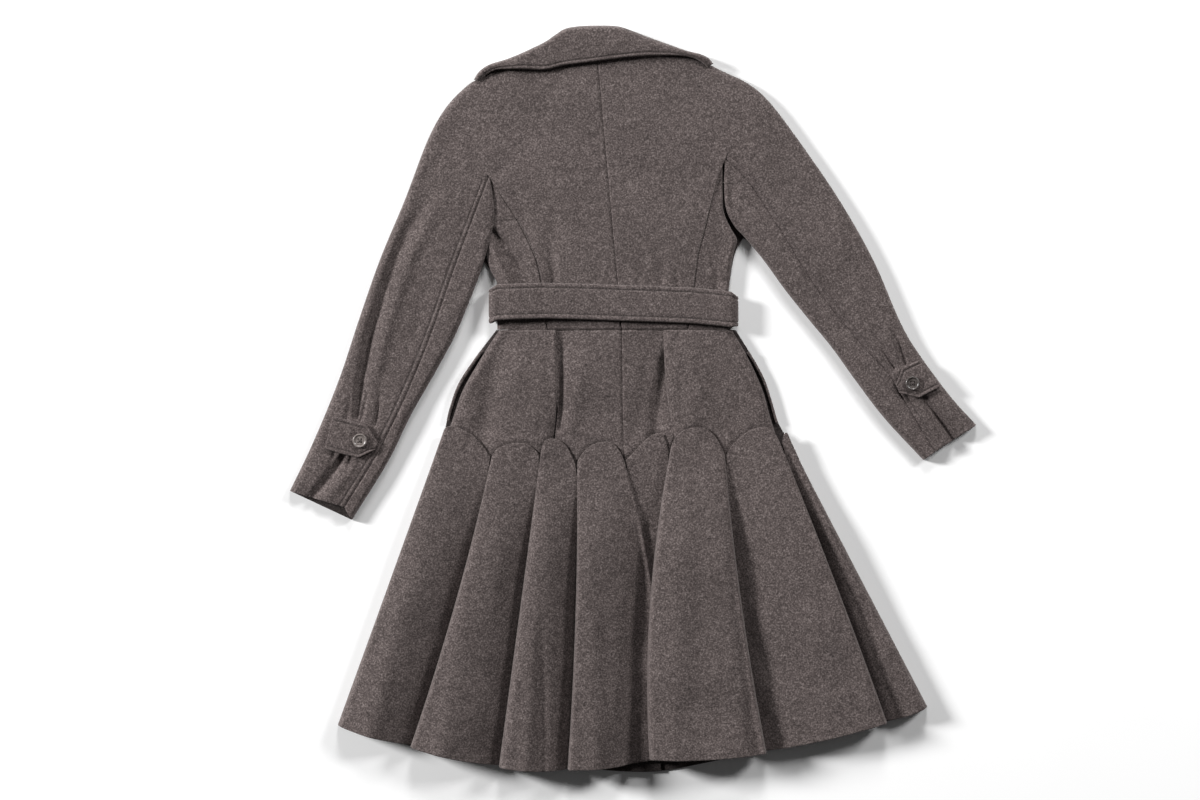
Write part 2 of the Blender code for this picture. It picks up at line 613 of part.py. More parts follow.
def add_solid(name, vertices, faces, colour, roughness):
    """A named object with its own material, triangulated, with its faces outward."""
    mesh = bpy.data.meshes.new(name)
    mesh.from_pydata(vertices, [], faces)
    shell = bmesh.new()
    shell.from_mesh(mesh)
    bmesh.ops.triangulate(shell, faces=shell.faces)
    bmesh.ops.recalc_face_normals(shell, faces=shell.faces)
    shell.to_mesh(mesh)
    shell.free()
    material = bpy.data.materials.new(name)
    material.use_nodes = True
    surface = material.node_tree.nodes["Principled BSDF"]
    surface.inputs["Base Color"].default_value = (*colour, 1.0)
    surface.inputs["Roughness"].default_value = roughness
    surface.inputs["Metallic"].default_value = 0.0
    mesh.materials.append(material)
    solid = bpy.data.objects.new(name, mesh)
    bpy.context.scene.collection.objects.link(solid)
    return solid


def panel(name, a_rows, b_rows, columns, a_roll=0.0, b_roll=0.0, crown=0.0, thick=CLOTH,
          level=None, colour=WOOL):
    """A wall of cloth lofted through sections from edge a to edge b.

    Rows are (x, y, z, foot). An edge with a roll turns down to its foot, never below the front.
    """
    grids = []
    crowns = np.broadcast_to(crown, len(a_rows))
    for depth in (0.0, thick):
        grid = []
        for a, b, rise in zip(a_rows, b_rows, crowns):
            across = b[:2] - a[:2]
            width = math.hypot(*across)
            a_end = ("roll" if a_roll else "seam", a[2], max(a[3], foot_over_front(*a[:2])), a_roll)
            b_end = ("roll" if b_roll else "seam", b[2], max(b[3], foot_over_front(*b[:2])), b_roll)
            section = []
            shares = columns(a, b) if callable(columns) else columns
            for s, z in profile(width, a_end, b_end, rise, shares, depth):
                x, y = a[:2] + across * (s / width)
                flat = smooth(s / (2.0 * a_roll)) if a_roll else 1.0
                z += fold_lift(FOLDS.get(name, ()), x, y) * flat
                section.append((x, y, z + (level(x, y) if level else 0.0)))
            grid.append(section)
        grids.append(np.array(grid))
    for row, neighbour in ((0, 1), (-1, -2)):
        inward = grids[0][neighbour] - grids[0][row]
        inward[:, 2] = 0.0
        inward *= (SEAM / 2) / np.linalg.norm(inward, axis=1).mean()
        for grid in grids:
            grid[row] += inward
    close_wall(name, grids[0], grids[1], colour)


def build_bodice():
    """Back panels with their sleeves, side panels and under sleeves."""
    sides = (
        ("left", OVERARM_LEFT, SIDE_SEAM_LEFT, SLEEVE_SEAM_LEFT, UNDERARM_LEFT, BODY_SIDE_LEFT),
        ("right", OVERARM_RIGHT, SIDE_SEAM_RIGHT, SLEEVE_SEAM_RIGHT, UNDERARM_RIGHT, BODY_SIDE_RIGHT),
    )
    for side, overarm, side_seam, sleeve_seam, underarm, body_side in sides:
        waist = level_line(CENTRE_BACK_X, side_seam[0].x, WAIST_Y, side_seam[0].z, 3)
        body_seam = run(side_seam, 0, 5, 5)
        point_seam = run(side_seam, 5, 6, 1)
        arm_seam = run(sleeve_seam, 0, len(sleeve_seam) - 1, 11)
        low = joined(waist, body_seam, point_seam, arm_seam)
        top = joined(run(overarm, 0, 2, 3), run(overarm, 2, 6, 6), run(overarm, 6, 13, 11))
        panel(f"back_{side}", top, low, 9, a_roll=EDGE_ROLL, crown=0.0006, level=neck_rise)
        fold = run(body_side, 0, len(body_side) - 1, 5)
        panel(f"side_panel_{side}", body_seam, fold, 6, b_roll=0.006, crown=-0.0008)
        fold = run(underarm, 0, len(underarm) - 1, 11)
        panel(f"under_sleeve_{side}", arm_seam, fold, 4, b_roll=0.007, crown=0.0003)


def build_bodice_front():
    """Fronts cut in one with the sleeve fronts, lapped at the centre."""
    sides = (
        ("left", LAP_LEFT, OVERARM_LEFT, FRONT_SIDE_LEFT, UNDERARM_LEFT, 2),
        ("right", LAP_RIGHT, OVERARM_RIGHT, FRONT_SIDE_RIGHT, UNDERARM_RIGHT, 3),
    )

    def columns(a, b):
        if abs(b[1] - WAIST_Y) > 0.001:
            return 6
        levels = (BELT_RISE_ENDS[1], 0.2142, BELT_RISE_FULL[1], 0.1400)
        return (0.0, *((a[1] - y) / (a[1] - b[1]) for y in levels), 1.0)

    for side, lap, overarm, front_side, underarm, first in sides:
        lap_top = np.array([(row.top_x, row.top_y, row.rise, 0.0) for row in lap])
        lap_low = np.array([(row.low_x, row.low_y, row.rise, 0.0) for row in lap])
        top = joined(lap_top, run(overarm, 2, 6, 5), run(overarm, 6, 13, 8))
        waist = level_line(lap[-1].low_x, front_side[0].x, WAIST_Y, 0.0, 1)
        side_edge = run(front_side, 0, len(front_side) - 1, 4)
        low = joined(lap_low, waist, side_edge, run(underarm, first, len(underarm) - 1, 8))
        top[len(lap):, 2] = 0.0
        low[len(lap):, 2] = 0.0
        panel(f"front_{side}", top, low, columns, level=front_face, colour=WOOL_DARK)
    for side, strip in (("left", COLLAR_FRONT_LEFT), ("right", COLLAR_FRONT_RIGHT)):
        a_rows = np.array([(row.a_x, row.a_y, DOUBLED, 0.0) for row in strip])
        b_rows = np.array([(row.b_x, row.b_y, DOUBLED, 0.0) for row in strip])
        panel(f"collar_front_{side}", a_rows, b_rows, 2, thick=DOUBLED)


def build_hips():
    """Four hip panels, pleated over one another beside the centre."""
    panels = (
        ("hip_side_left", HIP_SIDE_LEFT, EDGE_ROLL, LIP_ROLL),
        ("hip_centre_left", HIP_CENTRE_LEFT, 0.0, 0.0),
        ("hip_centre_right", HIP_CENTRE_RIGHT, 0.0, 0.0),
        ("hip_side_right", HIP_SIDE_RIGHT, HIP_ROLL, EDGE_ROLL),
    )
    for name, table, a_roll, b_roll in panels:
        last = len(table) - 1
        a_rows = run([(row.a_x, row.a_y, row.a_z, row.a_foot) for row in table], 0, last, 8)
        b_rows = run([(row.b_x, row.b_y, row.b_z, row.b_foot) for row in table], 0, last, 8)
        crown = np.interp(np.linspace(0, last, 9), range(last + 1), [row.crown for row in table])
        panel(name, a_rows, b_rows, 5, a_roll=a_roll, b_roll=b_roll, crown=crown)


def gore_line(edge, v, shift):
    """Point of a gore's edge at share v of its length, moved sideways."""
    x = edge.top_x + (edge.hem_x - edge.top_x) * v + 4.0 * edge.bow * v * (1.0 - v) + shift
    return np.array([x, edge.top_y + (edge.hem_y - edge.top_y) * v])


def swell(v):
    """Share of a gore's depth that is reached at share v of its length."""
    return smooth(v / 0.4) * (0.75 + 0.25 * v)


def gore_end(edge, over, v, z, overlap):
    """Kind, height, foot and reach of one side of a gore at share v."""
    if edge.over == "none":
        return ("roll", z, FRONT_FACE + SEAM, EDGE_ROLL)
    if edge.over == over:
        low = edge.under_z + (edge.under_hem - edge.under_z) * swell(v) - CLOTH
        foot = low + (CLOTH + SEAM - 0.0001) * smooth(v / OVERLAP_START)
        return ("roll", z, foot, LIP_ROLL)
    return ("tuck", z, 0.0, overlap)


def build_gores():
    """Flounce gores, each scallop top lapped over the yoke and each side over or under the next."""
    for number, gore in enumerate(GORES):
        left, right = GORE_EDGES[number], GORE_EDGES[number + 1]
        f_foot = FOLD_FOOT if number == 5 else 0.0
        grids = []
        for depth in (0.0, CLOTH):
            grid = []
            for v in GORE_ROWS:
                grow = swell(v)
                quick = 0.0032 * smooth(v / OVERLAP_START)
                lap = gore.overlap * smooth((v - OVERLAP_START) / (OVERLAP_FULL - OVERLAP_START))
                a_z = gore.base_a + (gore.a_z - gore.base_a) * grow
                b_z = gore.base_b + (gore.b_z - gore.base_b) * grow
                middle = (gore.base_a + gore.base_b) / 2
                mid_z = middle + (gore.mid_z - middle) * grow
                a_z += quick if left.over == "right" else 0.0
                b_z += quick if right.over == "left" else 0.0
                apart = SEAM / 2 + 0.0022 * (1.0 - smooth(v / OVERLAP_START))
                a_lap = apart - lap if left.over == "left" else SEAM / 2
                b_lap = lap - apart if right.over == "right" else -SEAM / 2
                a_end = gore_end(left, "right", v, a_z, lap)
                b_end = gore_end(right, "left", v, b_z, lap)
                if f_foot:
                    lift = smooth((v - 0.32) / 0.10)
                    reach = LIP_ROLL + SOFT_EDGE * smooth(v / OVERLAP_FULL)
                    a_end = a_end[:2] + (a_end[2] + (f_foot - a_end[2]) * lift, reach)
                a = gore_line(left, v, a_lap)
                b = gore_line(right, v, b_lap)
                across = b - a
                width = math.hypot(*across)
                crown = mid_z - (a_z + b_z) / 2
                section = []
                face = profile(width, a_end, b_end, crown, 6, 0.0)
                for (s_face, _), (s, z) in zip(face, profile(width, a_end, b_end, crown, 6, depth)):
                    u = s_face / width
                    skew = u ** (math.log(0.5) / math.log(gore.peak))
                    steep = 0.5 if skew < 0.5 else 1.0
                    scallop = gore.arch * max(1.0 - abs(2.0 * skew - 1.0) ** 2.4, 0.0) ** steep
                    x, y = a + across * (s / width)
                    y += scallop * (1.0 - v) - 4.0 * HEM_BOW * u * (1.0 - u) * v
                    section.append((x, y, z))
                grid.append(section)
            grids.append(np.array(grid))
        close_wall(f"gore_back_{number + 1}", grids[0], grids[1], WOOL)


def build_skirt_front():
    """Plain front of the skirt: yoke and flounce halves, lapped at the centre."""
    lap_edges = {
        "left": (-0.0960, -0.0590, -0.0250, 0.0240),
        "right": (0.0980, 0.0480, 0.0000, -0.0490),
    }
    sides = (("left", HIP_OUTLINE_LEFT, LAP_RISE), ("right", HIP_OUTLINE_RIGHT, 0.0))
    hem = run(FRONT_HEM, 0, len(FRONT_HEM) - 1, 60)
    for side, outline, rise in sides:
        edge = run(outline, 0, len(outline) - 1, 8)
        grids = []
        for depth in (0.0, CLOTH):
            grid = []
            for row, (x, y, _, _) in enumerate(edge):
                inset = -SEAM / 2 if row == 0 else SEAM / 2 if row == 8 else 0.0
                xs = [x, (x + lap_edges[side][0]) / 2, *lap_edges[side]]
                lifts = [0.0, 0.0, 0.0, rise, rise, rise]
                section = []
                for px, lift in zip(xs, lifts):
                    section.append((px, y + inset, front_face(px, y) + lift - depth))
                grid.append(section)
            grids.append(np.array(grid))
        close_wall(f"hip_front_{side}", grids[0], grids[1], WOOL_DARK)
        outer_x, lap_x = edge[-1, 0], lap_edges[side][-1]
        hem_side = hem[hem[:, 0] < 0.0420] if side == "left" else hem[hem[:, 0] > -0.0600][::-1]
        grids = []
        for depth in (0.0, CLOTH):
            tops, lows = [], []
            for share, (hem_x, hem_y, _, _) in zip(np.linspace(0, 1, len(hem_side)), hem_side):
                top_x = outer_x + (lap_x - outer_x) * share
                top_z = FRONT_FACE + rise * smooth((top_x + 0.098) / 0.03) - depth
                hem_z = FRONT_FACE + rise * smooth((hem_x + 0.105) / 0.03) - depth
                tops.append((top_x, YOKE_Y - SEAM / 2, top_z))
                lows.append((hem_x, hem_y, hem_z))
            grids.append(np.array([tops, lows]))
        close_wall(f"gore_front_{side}", grids[0], grids[1], WOOL_DARK)


def build_collar():
    """Collar folded over the back neck, its free edge standing off the back."""
    a_rows = np.array([(row.a_x, row.a_y, row.a_z, DOUBLED + SEAM) for row in COLLAR])
    b_rows = np.array([(row.b_x, row.b_y, row.b_z, 0.0) for row in COLLAR])
    panel("collar", a_rows, b_rows, 4, a_roll=COLLAR_ROLL, crown=0.0008, thick=DOUBLED)


def build_belt():
    """Belt of doubled cloth, a flat ring round the waist."""
    line = np.array(BELT_LINE)
    radius = (BELT_UNDER + DOUBLED) / 2
    left, right = BELT_END_LEFT + radius, BELT_END_RIGHT - radius
    path = []
    for x in np.linspace(left, right, 15):
        path.append((x, 2 * radius + np.interp(x, line[:, 0], line[:, 2]), 0.0, 1.0))
    for turn in np.linspace(90.0, -90.0, 7)[1:-1]:
        c, s = math.cos(math.radians(turn)), math.sin(math.radians(turn))
        path.append((right + radius * c, radius + radius * s, c, s))
    for x in np.linspace(right, left, 9):
        path.append((x, 0.0, 0.0, -1.0))
    for turn in np.linspace(270.0, 90.0, 7)[1:-1]:
        c, s = math.cos(math.radians(turn)), math.sin(math.radians(turn))
        path.append((left + radius * c, radius + radius * s, c, s))
    vertices, faces = [], []
    for x, z, out_x, out_z in path:
        mid = np.interp(x, line[:, 0], line[:, 1])
        for deep, half in ((0.0, 0.5), (0.0, -0.5), (DOUBLED, -0.5), (DOUBLED, 0.5)):
            vertices.append((x - out_x * deep, mid + half * BELT_WIDTH, z - out_z * deep))
    for i in range(len(path)):
        j = (i + 1) % len(path)
        for k in range(4):
            m = (k + 1) % 4
            faces.append((4 * i + k, 4 * i + m, 4 * j + m, 4 * j + k))
    add_solid("belt", vertices, faces, WOOL, 0.9)


def build_tabs():
    """Pointed cuff tabs with a sewn button each."""
    top = SLEEVE_FACE + SEAM + TAB_THICK
    for side, table in (("left", TAB_LEFT), ("right", TAB_RIGHT)):
        a_rows = np.array([(row.a_x, row.a_y, top, 0.0) for row in table])
        b_rows = np.array([(row.b_x, row.b_y, top, 0.0) for row in table])
        panel(f"cuff_tab_{side}", a_rows, b_rows, 3, thick=TAB_THICK)
    for side, (x, y) in (("left", BUTTON_LEFT), ("right", BUTTON_RIGHT)):
        build_button(f"cuff_button_{side}", x, y, top + SEAM)


def build_button(name, x, y, z):
    """Round button with a raised rim and four thread holes."""
    rim = (
        (0.86, 0.0),
        (1.00, 0.35),
        (0.97, 0.85),
        (0.88, 1.00),
        (0.72, 1.0 - BUTTON_RECESS / BUTTON_HEIGHT),
    )
    segments, hole_segments = 24, 8
    shell = bmesh.new()

    def ring(cx, cy, radius, height, count):
        points = []
        for i in range(count):
            turn = math.tau * i / count
            points.append((cx + radius * math.cos(turn), cy + radius * math.sin(turn), height))
        return [shell.verts.new(point) for point in points]

    def bridge(lower, upper):
        for i in range(len(lower)):
            j = (i + 1) % len(lower)
            shell.faces.new((lower[i], lower[j], upper[j], upper[i]))

    rings = [ring(x, y, share * BUTTON_RADIUS, z + h * BUTTON_HEIGHT, segments) for share, h in rim]
    for lower, upper in zip(rings, rings[1:]):
        bridge(lower, upper)
    low_loops, high_loops = [rings[0]], [rings[-1]]
    floor = z + BUTTON_HEIGHT - BUTTON_RECESS
    for i in range(4):
        turn = math.tau * (i + 0.5) / 4
        cx = x + BUTTON_HOLE_SPACING / math.sqrt(2) * math.cos(turn)
        cy = y + BUTTON_HOLE_SPACING / math.sqrt(2) * math.sin(turn)
        low_loops.append(ring(cx, cy, BUTTON_HOLE, z, hole_segments))
        high_loops.append(ring(cx, cy, BUTTON_HOLE, floor, hole_segments))
        bridge(low_loops[-1], high_loops[-1])
    for loops in (low_loops, high_loops):
        edges = []
        for loop in loops:
            for p, q in zip(loop, loop[1:] + loop[:1]):
                edges.append(shell.edges.get((p, q)))
        bmesh.ops.triangle_fill(shell, edges=edges, use_beauty=True)
    shell.verts.index_update()
    vertices = [tuple(v.co) for v in shell.verts]
    faces = [tuple(v.index for v in f.verts) for f in shell.faces]
    shell.free()
    add_solid(name, vertices, faces, HORN, 0.4)


def build_pocket_welts():
    """Folded edges of the pockets in the side seams of the yoke."""
    for side, outline, inward in (("left", HIP_OUTLINE_LEFT, 1.0), ("right", HIP_OUTLINE_RIGHT, -1.0)):
        edge = run(outline, 0, 5, 9)
        edge[:, 2] = WELT_THICK + 2 * SEAM
        inner = edge.copy()
        inner[:, 0] += inward * WELT_WIDTH * 0.86
        inner[:, 1] -= WELT_WIDTH * 0.5
        panel(f"pocket_welt_{side}", edge[2:-1], inner[2:-1], 2, thick=WELT_THICK, level=front_face)


for thing in list(bpy.data.objects):
    bpy.data.objects.remove(thing, do_unlink=True)
build_bodice()
build_bodice_front()
build_hips()
build_gores()
build_skirt_front()
build_collar()
build_belt()
build_tabs()
build_pocket_welts()
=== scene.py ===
"""Wool coat laid flat on its front, back facing up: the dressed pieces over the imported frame."""

import math
from collections import namedtuple

import bmesh
import bpy
import numpy as np
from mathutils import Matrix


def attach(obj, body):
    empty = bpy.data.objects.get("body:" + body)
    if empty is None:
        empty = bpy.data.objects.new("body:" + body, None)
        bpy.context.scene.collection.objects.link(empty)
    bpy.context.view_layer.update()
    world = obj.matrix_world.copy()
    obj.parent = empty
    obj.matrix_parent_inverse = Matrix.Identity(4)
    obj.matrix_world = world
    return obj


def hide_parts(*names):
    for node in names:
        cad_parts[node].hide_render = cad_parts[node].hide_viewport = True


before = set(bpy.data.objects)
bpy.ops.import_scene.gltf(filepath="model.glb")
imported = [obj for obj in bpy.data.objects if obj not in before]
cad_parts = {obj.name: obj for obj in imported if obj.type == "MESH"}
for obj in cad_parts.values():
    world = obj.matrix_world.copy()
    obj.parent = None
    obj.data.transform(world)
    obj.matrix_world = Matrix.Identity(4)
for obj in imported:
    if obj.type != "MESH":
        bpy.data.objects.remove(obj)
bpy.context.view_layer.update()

# Cloth, in metres
CLOTH = 0.0024
DOUBLED = 0.0050
SEAM = 0.0004
EDGE_ROLL = 0.010
LIP_ROLL = 0.005
SIDE_ROLL = 0.006
SLEEVE_ROLL = 0.007
HIP_ROLL = 0.014
EDGE_ROUND = 0.0011
NARROW = 0.026

# Sewing
SEAM_DEPTH = 0.0013
SEAM_HALF = 0.0015
STITCH_PITCH = 0.0036
STITCH_LENGTH = 0.0026
STITCH_RADIUS = 0.00033
STITCH_LIFT = 0.00012
STITCH_RINGS = ((-0.5, 0.45), (-0.3, 1.0), (0.3, 1.0), (0.5, 0.45))
STITCH_INSET = 0.0068
EDGE_STITCH = 0.0050
PRESS_DEPTH = 0.0011
PRESS_HALF = 0.0012
PRESS_START = 0.010

# Front of the coat
FRONT_FACE = CLOTH
LAP_RISE = 0.0027
LAP_EDGES = {"left": 0.0240, "right": -0.0490}
LAP_HEMS = {"left": 0.0420, "right": -0.0600}
BELT_RISE = 0.0053
BELT_RISE_FULL = (0.0826, 0.1660)
BELT_RISE_ENDS = (0.0336, 0.1960)
BODY_SIDES = (-0.226, 0.176)
BODY_SIDE_FADE = 0.022

# Back neck under the collar, and the collar
NECK_RISE = 0.0046
NECK_X = (-0.165, 0.065)
NECK_Y = (0.4680, 0.4900)
NECK_FADE = 0.04
COLLAR_ROLL = 0.008
COLLAR_CROWN = 0.0014
COLLAR_FOLD_SETTLE = 0.0034
COLLAR_EDGE_SETTLE = 0.0010

# Waist, yoke and flounce
WAIST_Y = 0.0966
YOKE_Y = -0.0672
CENTRE_BACK_X = -0.0147
GORE_LENGTH = 0.43
GORE_PITCH = 0.0030
GORE_TOP_ROUND = 0.0009
OVERLAP_START = 0.045
OVERLAP_FULL = 0.14
OVERLAP_STEP = 0.0032
TOP_GAP = 0.0022
HEM_BOW = 0.004
FOLD_GORE = 5
FOLD_FOOT = 0.0184
LIP_LIFT = 0.0045
CREST_FULLNESS = 1.3
SCALLOP_RISE = 0.0014

# Belt
BELT_WIDTH = 0.050
BELT_UNDER = 0.0166
BELT_END_LEFT = -0.2002
BELT_END_RIGHT = 0.1484
BELT_ROUND = 0.0024
BELT_STEPS = 151

# Cuff tabs and buttons
TAB_THICK = 0.0040
SLEEVE_FACE = 0.0149
BUTTON_RADIUS = 0.0100
BUTTON_HEIGHT = 0.0040
BUTTON_HOLE = 0.0011
BUTTON_HOLE_SPACING = 0.0042
BUTTON_THREAD = 0.00042
BUTTONS = {"left": (-0.3794, -0.0581), "right": (0.3906, 0.0217)}

# Pocket edges
WELT_WIDTH = 0.0042
WELT_THICK = 0.0050

# Table columns
Edge = namedtuple("Edge", "x y z foot", defaults=(0.0, 0.0))
Lap = namedtuple("Lap", "top_x top_y low_x low_y rise")
Strip = namedtuple("Strip", "a_x a_y b_x b_y")
Hip = namedtuple("Hip", "a_x a_y a_z a_foot b_x b_y b_z b_foot crown")
GoreEdge = namedtuple("GoreEdge", "top_x top_y hem_x hem_y bow over under_z under_hem")
Gore = namedtuple("Gore", "arch peak base_a base_b a_z mid_z b_z overlap")
Collar = namedtuple("Collar", "a_x a_y a_z b_x b_y b_z")
BeltLine = namedtuple("BeltLine", "x y rise")
Fold = namedtuple("Fold", "x y lift half")

# Points from one row of a table to the next, steps of a turned edge, and insets of rows near an edge
FINE = 24
ROLL_STEPS = 9
NEAR = np.array((0.0, 0.0003, 0.0008, 0.0015, 0.0024, 0.0034, 0.0042, EDGE_STITCH, 0.0058, STITCH_INSET,
                 0.0078, 0.0100))


def table(kind, *rows):
    """Rows of a table, given in tenths of a millimetre."""
    return [kind(*(value / 10000 for value in row)) for row in rows]


def fold_lines(*lines):
    """Folds, each a line of knots given in tenths of a millimetre."""
    return [table(Fold, *line) for line in lines]


# Back neck, shoulder and overarm, from the nape to the cuff
OVERARM_LEFT = table(Edge,
    (-504, 4928, 160, 136), (-1064, 4844, 160, 136), (-1540, 4690, 155, 120), (-1918, 4610, 150, 60),
    (-2128, 4494, 145, 27), (-2324, 4368, 145, 27), (-2604, 4074, 145, 27), (-2856, 3626, 145, 27),
    (-3178, 2786, 145, 27), (-3528, 1946, 145, 27), (-3822, 1106, 140, 27), (-4102, 266, 140, 27),
    (-4466, -616, 140, 27), (-4788, -1288, 135, 27))

# The same edge on the right
OVERARM_RIGHT = table(Edge,
    (-504, 4928, 160, 136), (252, 4886, 160, 136), (728, 4802, 155, 120), (1036, 4692, 150, 60),
    (1260, 4588, 145, 27), (1624, 4410, 145, 27), (1918, 4158, 145, 27), (2324, 3626, 145, 27),
    (2898, 2786, 145, 27), (3374, 1946, 145, 27), (3738, 1106, 140, 27), (3976, 686, 140, 27),
    (4438, 56, 140, 27), (4816, -364, 135, 27))

# Side-back seam, from the waist to the armpit point
SIDE_SEAM_LEFT = table(Edge,
    (-1176, 966, 150), (-1246, 1526, 150), (-1316, 1876, 150), (-1428, 2156, 150), (-1610, 2506, 150),
    (-1848, 2870, 145), (-2002, 3108, 145))

# The same seam on the right
SIDE_SEAM_RIGHT = table(Edge,
    (770, 966, 150), (854, 1526, 150), (910, 1974, 150), (994, 2296, 150), (1064, 2604, 150),
    (1176, 3094, 145), (1260, 3388, 145))

# Sleeve seam, from the armpit point to the cuff
SLEEVE_SEAM_LEFT = table(Edge,
    (-2002, 3108, 145), (-2226, 2520, 145), (-2478, 1848, 145), (-2786, 966, 140), (-3066, 266, 140),
    (-3304, -266, 140), (-3612, -854, 140), (-4018, -1512, 135))

# The same seam on the right
SLEEVE_SEAM_RIGHT = table(Edge,
    (1260, 3388, 145), (1624, 3024, 145), (2072, 2352, 145), (2590, 1526, 140), (3192, 770, 140),
    (3556, 378, 140), (3878, -154, 140), (4228, -742, 135))

# Underarm fold, from the armpit point to the cuff
UNDERARM_LEFT = table(Edge,
    (-1974, 3066, 140, 108), (-1925, 2562, 140, 106), (-1988, 2226, 140, 105), (-2072, 1918, 135, 96),
    (-2170, 1638, 135, 40), (-2268, 1386, 135, 27), (-2492, 854, 135, 27), (-2814, 266, 135, 27),
    (-3108, -252, 135, 27), (-3416, -882, 135, 27), (-3920, -1694, 130, 27))

# The same fold on the right
UNDERARM_RIGHT = table(Edge,
    (1278, 3324, 138, 108), (1302, 2716, 138, 98), (1414, 2436, 135, 43), (1568, 2268, 135, 43),
    (1848, 1932, 135, 32), (2142, 1526, 135, 27), (2478, 1106, 135, 27), (2800, 714, 135, 27),
    (3122, 266, 135, 27), (3528, -266, 135, 27), (4074, -854, 130, 27))

# Body side fold, from the waist up to the armpit
BODY_SIDE_LEFT = table(Edge,
    (-1883, 966, 130, 27), (-1883, 1386, 130, 27), (-1883, 1610, 130, 27), (-1988, 1820, 120, 27),
    (-2051, 2044, 92, 27), (-2030, 2422, 88, 43), (-1967, 2786, 88, 43))

# The same fold on the right
BODY_SIDE_RIGHT = table(Edge,
    (1372, 966, 130, 27), (1344, 1386, 130, 27), (1372, 1736, 130, 27), (1428, 2058, 130, 27),
    (1470, 2226, 125, 27), (1379, 2394, 120, 43), (1281, 2618, 125, 65), (1262, 2898, 135, 98))

# Body side edge of the front, from the waist to the underarm
FRONT_SIDE_LEFT = table(Edge,
    (-1876, 966), (-1869, 1386), (-1869, 1624), (-1988, 1806), (-2072, 1918))

# The same edge on the right
FRONT_SIDE_RIGHT = table(Edge,
    (1372, 966), (1344, 1386), (1386, 1778), (1456, 2086), (1568, 2268))

# Neckline and waist of the left front, from its front edge to the shoulder
LAP_LEFT = table(Lap,
    (0, 2394, 196, 966, 30), (-532, 2926, -308, 966, 30), (-728, 3248, -616, 966, 30),
    (-1036, 3794, -980, 966, 0), (-1540, 4690, -1428, 966, 0))

# Neckline and waist of the right front
LAP_RIGHT = table(Lap,
    (-658, 2394, -490, 966, 0), (-280, 2926, -98, 966, 0), (112, 3752, 322, 966, 0),
    (728, 4746, 910, 966, 0))

# Front end of the collar: neckline side and free side
COLLAR_FRONT_LEFT = table(Strip,
    (-532, 2926, -448, 3024), (-728, 3248, -560, 3346), (-1036, 3794, -658, 3934),
    (-1540, 4690, -1162, 4774))

# The same piece on the right
COLLAR_FRONT_RIGHT = table(Strip,
    (-280, 2926, -378, 3024), (112, 3752, -280, 3878), (728, 4746, 322, 4830))

# Hip panels, from the waist down
HIP_SIDE_LEFT = table(Hip,
    (-1855, 966, 145, 27, -1064, 966, 155, 129, 5), (-2128, 546, 145, 27, -1057, 546, 180, 147, 15),
    (-2366, 126, 145, 27, -1050, 126, 185, 147, 15), (-2492, -224, 140, 27, -1064, -224, 160, 135, 5),
    (-2555, -434, 130, 27, -1085, -434, 130, 106, 0), (-2590, -574, 130, 27, -1099, -574, 130, 106, 0),
    (-2604, -994, 120, 27, -1120, -994, 120, 96, 0))

# Between the left pleat and the centre-back seam
HIP_CENTRE_LEFT = table(Hip,
    (-1134, 966, 123, 0, -147, 966, 145, 0, 5), (-1134, 546, 140, 0, -143, 546, 150, 0, 6),
    (-1113, 196, 140, 0, -140, 196, 150, 0, 6), (-1044, -84, 133, 0, -136, -84, 144, 0, 2),
    (-1053, -294, 129, 0, -132, -294, 133, 0, 0), (-1074, -504, 129, 0, -127, -504, 129, 0, 0),
    (-1106, -994, 120, 0, -112, -994, 120, 0, 0))

# Between the centre-back seam and the right pleat
HIP_CENTRE_RIGHT = table(Hip,
    (-147, 966, 145, 0, 518, 966, 126, 0, 5), (-143, 546, 150, 0, 532, 546, 126, 0, 4),
    (-140, 126, 150, 0, 560, 126, 126, 0, 4), (-134, -224, 140, 0, 616, -224, 126, 0, 0),
    (-129, -434, 130, 0, 658, -434, 126, 0, 0), (-126, -574, 130, 0, 672, -574, 126, 0, 0),
    (-112, -994, 120, 0, 700, -994, 116, 0, 0))

# From the right pleat to the side
HIP_SIDE_RIGHT = table(Hip,
    (434, 966, 180, 131, 1393, 966, 145, 27, 0), (448, 546, 210, 131, 1638, 546, 145, 27, 0),
    (476, 126, 220, 131, 1827, 126, 145, 27, -5), (532, -224, 200, 131, 1925, -224, 138, 27, -10),
    (574, -434, 188, 131, 1988, -434, 130, 27, -12), (595, -574, 185, 131, 2030, -574, 130, 27, -10),
    (630, -994, 165, 131, 2114, -994, 120, 27, -10))

# Edges between the gores, left to right
GORE_EDGES = [
    GoreEdge(-0.2646, -0.0532, -0.4116, -0.4550, 0.0000, "none", 0.0027, 0.0027),
    GoreEdge(-0.1960, -0.0812, -0.3094, -0.4844, 0.0063, "right", 0.0157, 0.0075),
    GoreEdge(-0.1274, -0.0784, -0.1862, -0.5124, 0.0000, "right", 0.0157, 0.0075),
    GoreEdge(-0.0770, -0.0910, -0.0903, -0.5152, 0.0042, "right", 0.0157, 0.0085),
    GoreEdge(-0.0112, -0.0854, 0.0360, -0.5026, 0.0196, "left", 0.0157, 0.0085),
    GoreEdge(0.0532, -0.0742, 0.0238, -0.5012, -0.0140, "right", 0.0157, 0.0085),
    GoreEdge(0.1295, -0.0784, 0.1876, -0.4928, -0.0056, "left", 0.0180, 0.0090),
    GoreEdge(0.2072, -0.0630, 0.3556, -0.4508, 0.0028, "left", 0.0157, 0.0075),
    GoreEdge(0.2198, -0.0588, 0.4130, -0.4298, 0.0000, "none", 0.0027, 0.0027),
]

